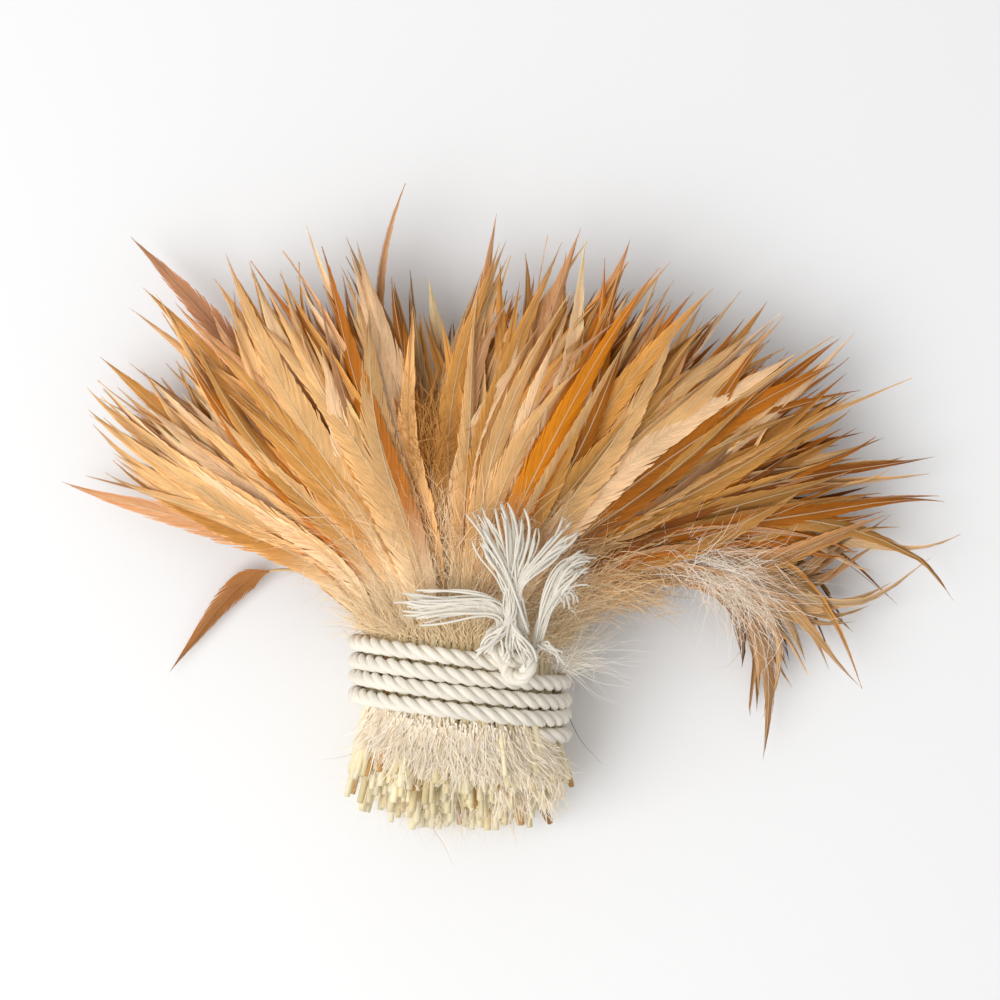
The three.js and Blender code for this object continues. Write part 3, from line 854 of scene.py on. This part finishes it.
# %% Hairs as thin strips
def hair_parts(rng, roots, ways, lengths, colours, width=0.13, curl=0.5, steps=4):
    """Strips from roots (n, 3) along ways: a point is the root plus its way times the length and
    the share, plus a random bend times the share squared. The width shrinks to a fifth."""
    count = len(roots)
    s = np.linspace(0, 1, steps)[None, :, None]
    bend = rng.normal(0, curl, (count, 1, 3)) * (1, 1, 0.6)
    line = roots[:, None] + lengths[:, None, None] * (unit(ways)[:, None] * s + bend * s**2)
    wave = rng.normal(0, 0.05, (count, 1, 3)) * lengths[:, None, None]
    line = line + wave * np.sin(2.6 * np.pi * s) * s
    ahead = unit(np.gradient(line, axis=1))
    lean = unit(rng.normal(0, 0.5, (count, 1, 3)) + (0, 0, 1))
    side = unit(np.cross(ahead, np.broadcast_to(lean, ahead.shape)))
    half = side * (width * (1 - 0.8 * s)) * rng.uniform(0.6, 1.3, (count, 1, 1))
    points = np.stack([line + half, line - half], 2).reshape(-1, 3)
    quads = repeated(grid_quads(steps, 2, flip=True), 2 * steps, count)
    tints = np.repeat(np.clip(colours, 0, 1), 2 * steps, axis=0)
    shares = np.tile(np.repeat(np.linspace(0, 1, steps), 2), count).reshape(count, -1)
    edges = np.tile(np.tile([1.0, -1.0], steps), count).reshape(count, -1)
    guide = np.stack([edges + np.arange(count)[:, None] * 1.7, shares * lengths[:, None]], -1)
    return (above_table(points, HAIR_GAP), quads, tints, cornered(guide, quads),
            cornered(cells(shares, edges / 2 + 0.5), quads))


def tinted(rng, count, first, second, spread=0.05):
    """Colours at random between two, each a little lighter or darker."""
    return mix(first, second, rng.random((count, 1))) * (1 + rng.normal(0, spread, (count, 1)))


print("tints of two trial hairs:",
      tinted(np.random.default_rng(0), 2, DOWN_BEIGE, DOWN_WHITE).round(2).tolist())


# %% Down over the foot of each sheaf
def foot_down(rng, name, count, high):
    """Hairs that start on top of a column, thickest next to the tie, and follow its flow. At the
    sides of the tie they cover the full height."""
    low_place, high_place = COLUMNS[name][:2]
    place = rng.uniform(low_place, high_place, count)
    run = 34 * rng.random(count) ** 2.1
    upwards = np.where(np.abs(place) > 0.8, 3.0, 0.3)
    level = mix(rng.uniform(-0.8, high, count), high, rng.random(count) ** upwards)
    roots = fan_point(place, level, run) + rng.normal(0, 0.5, (count, 3))
    roots[:, 1] -= rng.random(count) * (3.4 + 0.17 * roots[:, 0])  # back to the sloping first turn
    ways = fan_point(place, level, run + 4) - fan_point(place, level, run)
    ways = unit(ways) + rng.normal(0, 0.34, (count, 3)) + (0, 0, 0.06)
    lengths = rng.uniform(4, 11, count)
    gold = mix(DOWN_BEIGE, TAN, ease(run, 6, 30)[:, None])
    return hair_parts(rng, roots, ways, lengths, tinted(rng, count, gold, DOWN_BEIGE), 0.11, 0.35)


def parting_tuft(rng, count=900):
    """A tuft of gold hairs in the hollow where the crown parts, tinted from honey to a darker gold
    as painted shade of the hollow.
    """
    roots = fan_point(rng.normal(PARTING, 0.035, count), rng.uniform(0.6, 1.0, count),
                      rng.normal(44, 6, count))
    ways = rng.normal(0, 0.35, (count, 3)) + (0, 1, 0.1)
    return hair_parts(rng, roots, ways, rng.uniform(4, 9, count),
                      tinted(rng, count, HONEY, SHADE_GOLD), 0.12)


def drooping_cloud(rng, count=1100):
    """A pale cloud of long hairs over the drooping blades, about half way along them."""
    run = rng.normal(52, 8, count)
    place = rng.normal(0.88, 0.035, count)
    roots = fan_point(place, 1.0, run) + rng.normal(0, 1.6, (count, 3)) * (1, 1, 0.6)
    ways = unit(fan_point(place, 1.0, run + 4) - fan_point(place, 1.0, run))
    ways = ways + rng.normal(0, 0.55, (count, 3)) + (0, 0, 0.12)
    return hair_parts(rng, roots, ways, rng.uniform(6, 16, count),
                      tinted(rng, count, DROOP_DOWN, DOWN_WHITE), 0.08, 0.3)


# hairs a column, and none on the middle group that lies under the crown
DOWN_COUNTS = {"crown": 2200, "left_wing": 1900, "left_inner": 1900, "right_inner": 1900,
               "right_wing": 1400, "right_low": 1900, "right_droop": 1600}
EXTRA_DOWN = {"crown": parting_tuft, "right_droop": drooping_cloud}
for seed, (name, group) in enumerate(GROUPS.items()):
    if name not in DOWN_COUNTS:
        continue
    rng = np.random.default_rng(DOWN_SEED + seed)
    parts = [foot_down(rng, column, DOWN_COUNTS[name], 1.0) for column in group.columns]
    if name in EXTRA_DOWN:
        parts.append(EXTRA_DOWN[name](rng))
    down = add_piece(f"down_{name}", parts, soft_down)
    hold(down, group)

# %% [markdown]
# ## The stump of cut quills
# Behind the cord the quills end in a blunt stump. The upper ones were cut shorter than the lower
# ones, so their open ends show in rows like the reeds of a thatched roof. A quill is a thin-walled
# tube of straw-coloured horn. Each is a six-sided rod that runs through the tie, and its last
# rings turn inwards and back, which gives it a rim and a mouth whose colour darkens inwards as
# painted shade.


# %% Cut quills
def pack_point(place, level, y):
    """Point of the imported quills: the tie's ellipse flares to the stump's from the cord's back to
    the longest end."""
    flare = ease(-y, -TIE_BACK, 0.66 * STUMP_LENGTH)
    width = mix(TIE_HALF_WIDTH, STUMP_HALF_WIDTH, flare)
    height = mix(TIE_HALF_HEIGHT, STUMP_HALF_HEIGHT, flare)
    z = TIE_Z + height * np.sqrt(1 - np.clip(place, -0.99, 0.99) ** 2) * level
    return np.stack([width * place, y + 0 * place, z], -1)


def stump_end(place, level):
    """How far back a quill is cut: the dome of the stump in plan for the lowest level, and only
    a few millimetres past the cord for the highest."""
    depth = np.sqrt(1 - np.clip(place, -0.99, 0.99) ** 2)
    reach = mix(STUMP_CORNER_LENGTH + 5, STUMP_LENGTH - 1, depth**1.2)
    return mix(reach, np.minimum(reach, 3.4 - TIE_BACK), ((level + 1) / 2) ** 1.3)


QUILL_ROWS, QUILLS_A_ROW, CUT_JITTER, BROWN_SHARE = 22, 32, 2.6, 0.10
rng = np.random.default_rng(7)
rows = np.linspace(-0.92, 0.96, QUILL_ROWS)
across_row = [np.linspace(-1, 1, max(3, int(QUILLS_A_ROW * np.sqrt(1 - r * r)))) for r in rows]
spot_x = np.concatenate([a * np.sqrt(1 - r * r) * 0.95 for a, r in zip(across_row, rows)])
spot_z = np.concatenate([np.full(len(a), r) for a, r in zip(across_row, rows)])
spot_x = spot_x + rng.normal(0, 0.018, len(spot_x))
level = np.clip(spot_z / np.sqrt(1 - np.clip(spot_x, -0.97, 0.97) ** 2), -0.96, 0.97)
quills = len(spot_x)
cut = -(stump_end(spot_x, level) + rng.normal(0, CUT_JITTER, quills))
cut = np.clip(cut, -STUMP_LENGTH + 0.4, TIE_BACK - 1.0)
front = pack_point(spot_x, level, np.full(quills, TIE_FRONT + 1.0))
foot = pack_point(spot_x, level, np.full(quills, -2.0))
tip = pack_point(spot_x, level, cut) + rng.normal(0, 1.3, (quills, 3)) * (1, 0, 0.7)
way = unit(tip - foot)
radius = rng.uniform(0.62, 1.05, quills)
reach = np.linalg.norm(tip - foot, axis=1)
stops = np.stack([0 * reach, reach * 0.6, reach - 1.2, reach, reach, reach - 1.1], 1)
lines = np.concatenate([front[:, None], foot[:, None] + way[:, None] * stops[..., None]], 1)
taper = np.array([1.0, 1.0, 1.0, 0.98, 0.86, 0.5, 0.44])  # the rim, then back inside the tube
bark = tinted(rng, quills, STRAW, linear(246, 236, 204), 0.06)
brown = rng.random(quills) < BROWN_SHARE
bark[brown] = bark[brown] * linear(214, 176, 128)
# painted shade: the rings inside the tube get darker inwards, down to a dark brown mouth colour
mouth_shade = linear(134, 98, 56)
tones = np.stack([bark, bark, bark, bark * 0.95, bark * 0.86, bark * 0.6,
                  np.broadcast_to(mouth_shade, bark.shape)], 1)
fallen = mix(np.array([19.5, -27.5, 8.0]), np.array([23.0, -33.6, 5.6]),
             np.array([0, 0.3, 0.6, 0.84, 1.0, 1.0, 0.86])[:, None])  # a quill that slipped out
parts = [rod_parts(lines, radius[:, None] * taper, tones, 6, ahead=np.repeat(way[:, None], 7, 1)),
         rod_parts(fallen[None], 0.95 * taper[None], linear(142, 106, 70)[None], 6)]
print("quills:", quills)
stump = add_piece("quill_stump", parts, straw_horn)
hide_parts(*[n for n in frame["nodes"] if n.startswith("quills_")])
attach(stump, "tied_stump")

# %% [markdown]
# Between the quills hangs the down of their feathers. It comes out from under the cord in tufts,
# covers the upper rows almost to their ends, and a few wisps lie past the end of the stump.

# %% Down of the stump
TUFTS, HAIRS, WISPS = 330, 44, 700
rng = np.random.default_rng(8)
tuft_place = rng.uniform(-0.93, 0.93, TUFTS)
tuft_level = np.where(rng.random(TUFTS) < 0.76, rng.uniform(0.88, 1.0, TUFTS),
                      rng.uniform(-0.7, 0.88, TUFTS))
tuft_y = np.where(tuft_level > 0.88, rng.uniform(-11.5, -6, TUFTS),
                  7 - stump_end(tuft_place, tuft_level) + rng.normal(0, 2, TUFTS))
tuft = np.repeat(np.arange(TUFTS), HAIRS)
place = tuft_place[tuft] + rng.normal(0, 0.035, len(tuft))
level = np.clip(tuft_level[tuft] + rng.normal(0, 0.03, len(tuft)), -0.98, 1.0)
y = tuft_y[tuft] + rng.normal(0, 1.3, len(tuft)) + WINDING_SLOPE * TIE_HALF_WIDTH * place
roots = pack_point(place, level, y) + (0, 0, 1.3)
slope = -0.12 - 0.5 * ease(-y, 12, 18)  # level over the shortest quills, then down the cut
ways = np.stack([place * 0.35, -np.ones(len(y)), slope * ease(level, 0.2, 0.9)], 1)
ways = unit(ways) + rng.normal(0, 0.17, (len(y), 3)) + rng.normal(0, 0.13, (TUFTS, 3))[tuft]
parts = [hair_parts(rng, roots, ways, rng.uniform(2.5, 8, len(y)),
                    tinted(rng, len(y), DOWN_WHITE, mix(DOWN_BEIGE, DOWN_WHITE, 0.3), 0.03),
                    0.24, 0.22)]
place = rng.normal(-0.12, 0.42, WISPS).clip(-0.9, 0.9)
roots = pack_point(place, rng.uniform(-0.95, -0.2, WISPS), 4 - stump_end(place, -0.8 + 0 * place))
ways = rng.normal(0, 0.4, (WISPS, 3)) * (1, 1, 0.6) + (0, -1, -0.3)
parts.append(hair_parts(rng, roots, ways, rng.uniform(3, 9, WISPS),
                        tinted(rng, WISPS, DOWN_WHITE, DROOP_DOWN, 0.02), 0.07, 0.3))
stump_down = add_piece("down_stump", parts, soft_down)
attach(stump_down, "tied_stump")

# %% [markdown]
# ## The cord
# The cord is three strands of soft cotton laid round each other, wound four times round the quills
# and knotted on top. A twisted texture on a plain tube would keep a smooth outline, so each strand
# is a rod of its own that circles the cord's middle line once in eleven millimetres. Its section
# has six lobes that turn the other way, as the yarns in a strand do.


# %% Laid strands
CORD_LAY = 11.3  # millimetres along the cord for one turn of a strand
STRAND_OFFSET, STRAND_RADIUS, STRAND_SIDES = 0.53, 0.5, 18  # the first two in cord radii
YARN_LOBES = (6, 0.075, 0.09)


def laid_cord(line, out, radius, tone_seed):
    """Three strands round a line, a third of a turn apart: each stands off by its offset in the
    direction that turns once every lay. out is a direction across the line at each of its
    points, and radius is the whole cord's."""
    rng = np.random.default_rng(tone_seed)
    ahead = unit(np.gradient(line, axis=0))
    first = unit(out - (out * ahead).sum(1, keepdims=True) * ahead)
    second = np.cross(ahead, first)
    run = np.concatenate([[0], np.linalg.norm(np.diff(line, axis=0), axis=1).cumsum()])
    turn = 2 * np.pi * (run / CORD_LAY + np.arange(3)[:, None] / 3)
    spoke = np.cos(turn)[..., None] * first + np.sin(turn)[..., None] * second
    strands = line + STRAND_OFFSET * radius * spoke
    ahead = unit(np.gradient(strands, axis=1))
    thick = np.full(turn.shape, STRAND_RADIUS * radius)
    thick[:, [0, -1]] *= 0.6
    tones = COTTON * (1 + rng.normal(0, 0.02, (3, 1, 1))) * (1 + 0.03 * np.sin(run / 3.1))[:, None]
    return rod_parts(strands, thick, tones, STRAND_SIDES, ahead=ahead, up=spoke, lobes=YARN_LOBES)


def fuzz_parts(rng, line, radius, count):
    """Short loose fibres that stand off a cord: each starts on its surface and leans along it."""
    at = rng.integers(1, len(line) - 1, count)
    off = unit(rng.normal(0, 1, (count, 3)))
    ways = off + unit(line[at + 1] - line[at - 1]) * rng.normal(0, 1.2, (count, 1))
    return hair_parts(rng, line[at] + off * radius * 0.9, ways, rng.uniform(0.7, 2.2, count),
                      tinted(rng, count, COTTON, DOWN_WHITE, 0.02), 0.035, 0.5)


print("the cord turns", round(TURN_PITCH, 2), "mm apart, and is", 2 * CORD_RADIUS, "mm thick")

# %% The turns round the tie
# Turns are counted from the top of the tie, and each moves back by one pitch.
TURN_START, TURN_END = -2.5 / 24, CORD_TURNS - 3.5 / 24
turns = np.linspace(TURN_START, TURN_END, 820)
angle = np.pi / 2 + 2 * np.pi * turns
sway = 0.16 * np.sin(turns * 9.7) + 0.10 * np.sin(turns * 23.1 + 1)
tucked = 1 - 0.11 * ease(turns, TURN_END - 0.07, TURN_END)  # the end goes in among the quills
coil = np.stack([COIL_HALF_WIDTH * tucked * np.cos(angle),
                 FIRST_TURN - TURN_PITCH * (turns - 0.5) + sway
                 + WINDING_SLOPE * COIL_HALF_WIDTH * np.cos(angle),
                 TIE_Z + COIL_HALF_HEIGHT * tucked * np.sin(angle)], 1)
outwards = np.stack([np.cos(angle) / COIL_HALF_WIDTH, 0 * angle,
                     np.sin(angle) / COIL_HALF_HEIGHT], 1)
rng = np.random.default_rng(9)
winding = add_piece("cord_windings", [laid_cord(coil, outwards, CORD_RADIUS, 1),
                                      fuzz_parts(rng, coil, CORD_RADIUS, 1100)], cotton_fibre)
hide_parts("cord_winding")
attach(winding, "tied_stump")

# %% [markdown]
# ## The knot and its frayed ends
# The two ends are tied in an overhand knot on top of the turns. Past the knot the strands have
# come apart into single threads, which spread over the feathers and curl at their tips. Each tail
# is a bunch of separate threads that leave the knot together and gather in tufts of their own. The
# tails are shorter than a free cord's least length, so they are threads of a tassel here, and not a
# declared cord.

# %% The knot
KNOT_RADIUS, KNOT_OPENING, KNOT_SQUEEZE, REST_GAP, THREAD_RADIUS = 2.25, 0.6, 0.1, 0.4, 0.3
knot_x, knot_y = 0.6 * TIE_HALF_WIDTH, FIRST_TURN + TURN_PITCH
seat_x = knot_x - KNOT_RADIUS
knot_z = (TIE_Z + COIL_HALF_HEIGHT * np.sqrt(1 - (seat_x / COIL_HALF_WIDTH) ** 2)
          + CORD_RADIUS + REST_GAP + KNOT_RADIUS + CORD_RADIUS)
KNOT = np.array([knot_x, knot_y, knot_z])
a = np.linspace(KNOT_OPENING, 2 * np.pi - KNOT_OPENING, 150) + np.pi / 3
knot_line = KNOT + KNOT_RADIUS * np.stack([np.sin(a) + 2 * np.sin(2 * a),
                                           np.cos(a) - 2 * np.cos(2 * a), -np.sin(3 * a)], 1)
rng = np.random.default_rng(12)
ups = np.tile([0.0, 0.0, 1.0], (len(a), 1))


def thread_parts(rng, routes, counts, spread):
    """Threads along routes of a few points, with a count each. A thread starts a little beside its
    route, stops a little short of its end, moves away from it by an offset that grows with the
    share, and waves slowly."""
    tuft = np.repeat(np.arange(len(routes)), counts)
    count = len(tuft)
    s = np.linspace(0, 1, 20)[None, :]
    middle = np.stack([curve_through(route, 60) for route in routes])[tuft]
    line = along_shaft(middle, s * rng.uniform(0.78, 1.0, (count, 1)))
    s = s[..., None]
    opened = rng.normal(0, 1, (count, 1, 3)) * np.array(spread)[tuft][:, None, None] * (1, 1, 0.45)
    opening = 0.3 * np.sin(np.pi * s) + 0.7 * s**2
    line = line + rng.normal(0, 0.5, (count, 1, 3)) + opened * opening
    phase = rng.random((count, 1, 3)) * 6
    wave = np.sin(2 * np.pi * s * rng.uniform(0.7, 1.9, (count, 1, 1)) + phase) - np.sin(phase)
    line = line + 0.6 * wave * s * (1, 1, 0.4)
    thick = THREAD_RADIUS * rng.uniform(0.75, 1.15, (count, 1)) * np.ones((1, 20))
    thick[:, -1] *= 0.7
    return rod_parts(line, thick, tinted(rng, count, COTTON, COTTON * 0.9, 0.02), 6)


# Threads from the neck of the tassel back over the knot, which hang down over the turns
NECK = (13.0, 26.5, 51.6)
over = (12.5, 19.5, 54.0)
hanging = [[NECK, over, (8.5, 15.5, 54.2), (4.0, 10.5, 50.6)],
           [NECK, over, (12.0, 14.5, 54.6), (11.8, 9.0, 52.6)],
           [NECK, over, (15.4, 15.0, 54.4), (17.4, 10.0, 51.6)]]
knotted_radius = CORD_RADIUS - KNOT_SQUEEZE
knot = add_piece("cord_knot_strands", [laid_cord(knot_line, ups, knotted_radius, 2),
                                       thread_parts(rng, hanging, [11, 10, 10], [1.2] * 3),
                                       fuzz_parts(rng, knot_line, knotted_radius, 260)],
                 cotton_fibre)
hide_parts("cord_knot")
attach(knot, "tied_stump")

# %% The frayed tails
left_root, upper_root, right_root = (11.0, 18.5, 50.6), (16.0, 17.4, 51.4), (18.9, 13.0, 47.8)
TAILS = {  # name: routes, threads a route, spread
    "left": ([[left_root, (7.5, 24.0, 51.0), (-3.0, 24.6, 49.8), (-15.2, 25.0, 48.0)],
              [left_root, (7.0, 23.2, 51.0), (-3.0, 22.6, 49.8), (-13.2, 21.4, 48.0)]],
             [18, 16], [1.0, 1.0]),
    "upper": ([[upper_root, NECK, (9.0, 34.5, 51.2), (5.6, 41.0, 48.8)],
               [upper_root, NECK, (8.6, 37.0, 51.0), (3.6, 46.6, 48.4)],
               [upper_root, NECK, (12.6, 38.0, 50.8), (9.9, 48.8, 48.0)],
               [upper_root, NECK, (16.2, 36.0, 50.8), (16.4, 45.4, 48.2)],
               [upper_root, NECK, (20.0, 36.5, 50.6), (26.6, 45.4, 47.4)],
               [upper_root, (14.5, 28.0, 51.8), (21.0, 34.5, 51.4), (27.0, 40.8, 48.0)]],
              [16, 10, 12, 14, 5, 16], [1.3, 1.0, 1.2, 1.6, 0.8, 1.4]),
    "right": ([[right_root, (21.0, 22.0, 50.6), (25.0, 32.0, 50.8), (32.7, 34.4, 47.4)],
               [right_root, (21.0, 21.5, 50.6), (26.0, 29.5, 50.6), (31.0, 30.2, 47.6)],
               [right_root, (20.5, 20.5, 50.4), (24.4, 26.5, 50.4), (26.6, 21.6, 47.6)],
               [right_root, (20.6, 13.8, 51.0), (22.8, 12.2, 50.0), (24.6, 9.4, 46.4)]],
              [18, 15, 11, 8], [1.3, 1.3, 1.0, 0.8]),
}
FLUFF = 260  # loose fibres a tail
for seed, (name, (routes, threads, spread)) in enumerate(TAILS.items()):
    rng = np.random.default_rng(TAIL_SEED + seed)
    parts = [thread_parts(rng, routes, threads, spread)]
    count = FLUFF
    lines = np.stack([curve_through(route, 60) for route in routes])
    picked = lines[rng.integers(0, len(routes), count), rng.integers(8, 60, count)]
    parts.append(hair_parts(rng, picked + rng.normal(0, 0.9, (count, 3)),
                            rng.normal(0, 1, (count, 3)), rng.uniform(1, 4, count),
                            tinted(rng, count, COTTON, DOWN_WHITE, 0.02), 0.04, 0.6))
    tail = add_piece(f"cord_threads_{name}", parts, cotton_fibre)
    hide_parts(f"cord_tail_{name}")
    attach(tail, f"tail_{name}")

# %% [markdown]
# A wisp of fine fibres has worked loose beside the tie on the right, where the cord turns down. It
# is far thinner than the threads, so it is made of the same strips as the down.

# %% A loose wisp and a few single hairs
rng = np.random.default_rng(41)
count = 230
roots = np.tile([25.5, 9.0, 30.0], (count, 1)) + rng.normal(0, 1.2, (count, 3))
ways = unit(rng.normal(0, 0.45, (count, 3)) + (1.0, 0.35, -0.25))
parts = [hair_parts(rng, roots, ways, rng.uniform(5, 16, count),
                    tinted(rng, count, COTTON, DOWN_WHITE, 0.02), 0.07, 0.45, steps=7)]
HAIR_TONES = np.stack([linear(70, 50, 40), linear(226, 206, 176), linear(206, 180, 150),
                       linear(196, 176, 150)])
HAIR_ROOTS = np.array([(27.0, -4.0, 26.0), (-27.0, 14.0, 20.0), (-8.0, -33.0, 6.0),
                       (-24.0, -14.0, 14.0)])
HAIR_WAYS = np.array([(0.2, -1.0, 0.1), (-0.8, 0.9, 0.1), (0.4, -1.0, -0.1), (-1.0, -0.4, -0.2)])
HAIR_LENGTHS = np.array([9.0, 12.0, 8.0, 11.0])
parts.append(hair_parts(rng, HAIR_ROOTS, HAIR_WAYS, HAIR_LENGTHS, HAIR_TONES, 0.09, 0.5, steps=9))
wisp = add_piece("loose_fibres", parts, soft_down)
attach(wisp, "tied_stump")

# %% [markdown]
# ## Floor, light and camera
# The bundle lies on a white table and is seen from straight above. A large soft light, as of a
# window, stands high on the left and a little towards the quill ends, so the shadows fall softly
# to the far right, and an even pale surround fills them.

# %% Stage
FLOOR_HALF, FLOOR_WHITE, FLOOR_ROUGHNESS, SURROUND_STRENGTH = 2.0, 0.9, 0.9, 0.57
floor_mesh = bpy.data.meshes.new("floor")
floor_mesh.from_pydata([(-FLOOR_HALF, -FLOOR_HALF, 0), (FLOOR_HALF, -FLOOR_HALF, 0),
                        (FLOOR_HALF, FLOOR_HALF, 0), (-FLOOR_HALF, FLOOR_HALF, 0)],
                       [], [(0, 1, 2, 3)])
floor = bpy.data.objects.new("floor", floor_mesh)
bpy.context.scene.collection.objects.link(floor)
white = bpy.data.materials.new("white_table")
white.use_nodes = True
paint = white.node_tree.nodes["Principled BSDF"]
paint.inputs["Base Color"].default_value = (FLOOR_WHITE, FLOOR_WHITE, FLOOR_WHITE, 1)
paint.inputs["Roughness"].default_value = FLOOR_ROUGHNESS
floor_mesh.materials.append(white)

surround = bpy.data.worlds.new("surround")
surround.use_nodes = True
sky = surround.node_tree.nodes["Background"]
sky.inputs["Color"].default_value = (1, 1, 1, 1)
sky.inputs["Strength"].default_value = SURROUND_STRENGTH
bpy.context.scene.world = surround
bpy.context.scene.view_settings.view_transform = "Standard"


def soft_light(name, place, aim, size, power):
    """A square area light at place that faces aim."""
    lamp = bpy.data.lights.new(name, "AREA")
    lamp.shape, lamp.size, lamp.energy = "SQUARE", size, power
    light = bpy.data.objects.new(name, lamp)
    bpy.context.scene.collection.objects.link(light)
    light.location = place
    back = Vector(place) - Vector(aim)
    light.rotation_euler = back.to_track_quat("Z", "Y").to_euler()


# metres and watts
soft_light("window", place=(-0.6, -0.25, 0.95), aim=(0, 0.04, 0), size=1.0, power=10.2)
print("lights:", [light.name for light in bpy.data.lights])

# %% The camera
camera_data = bpy.data.cameras.new("camera")
camera = bpy.data.objects.new("camera", camera_data)
bpy.context.scene.collection.objects.link(camera)
# metres: the width that is seen at the height of the view, and the point under the camera
CAMERA_HEIGHT, VIEW_WIDTH, VIEW_HEIGHT, VIEW_MIDDLE = 0.75, 0.25, 0.025, (0.010, 0.04925)
camera.location = (*VIEW_MIDDLE, CAMERA_HEIGHT)
camera_data.lens = camera_data.sensor_width * (CAMERA_HEIGHT - VIEW_HEIGHT) / VIEW_WIDTH
bpy.context.scene.camera = camera
print("lens", round(camera_data.lens, 1))
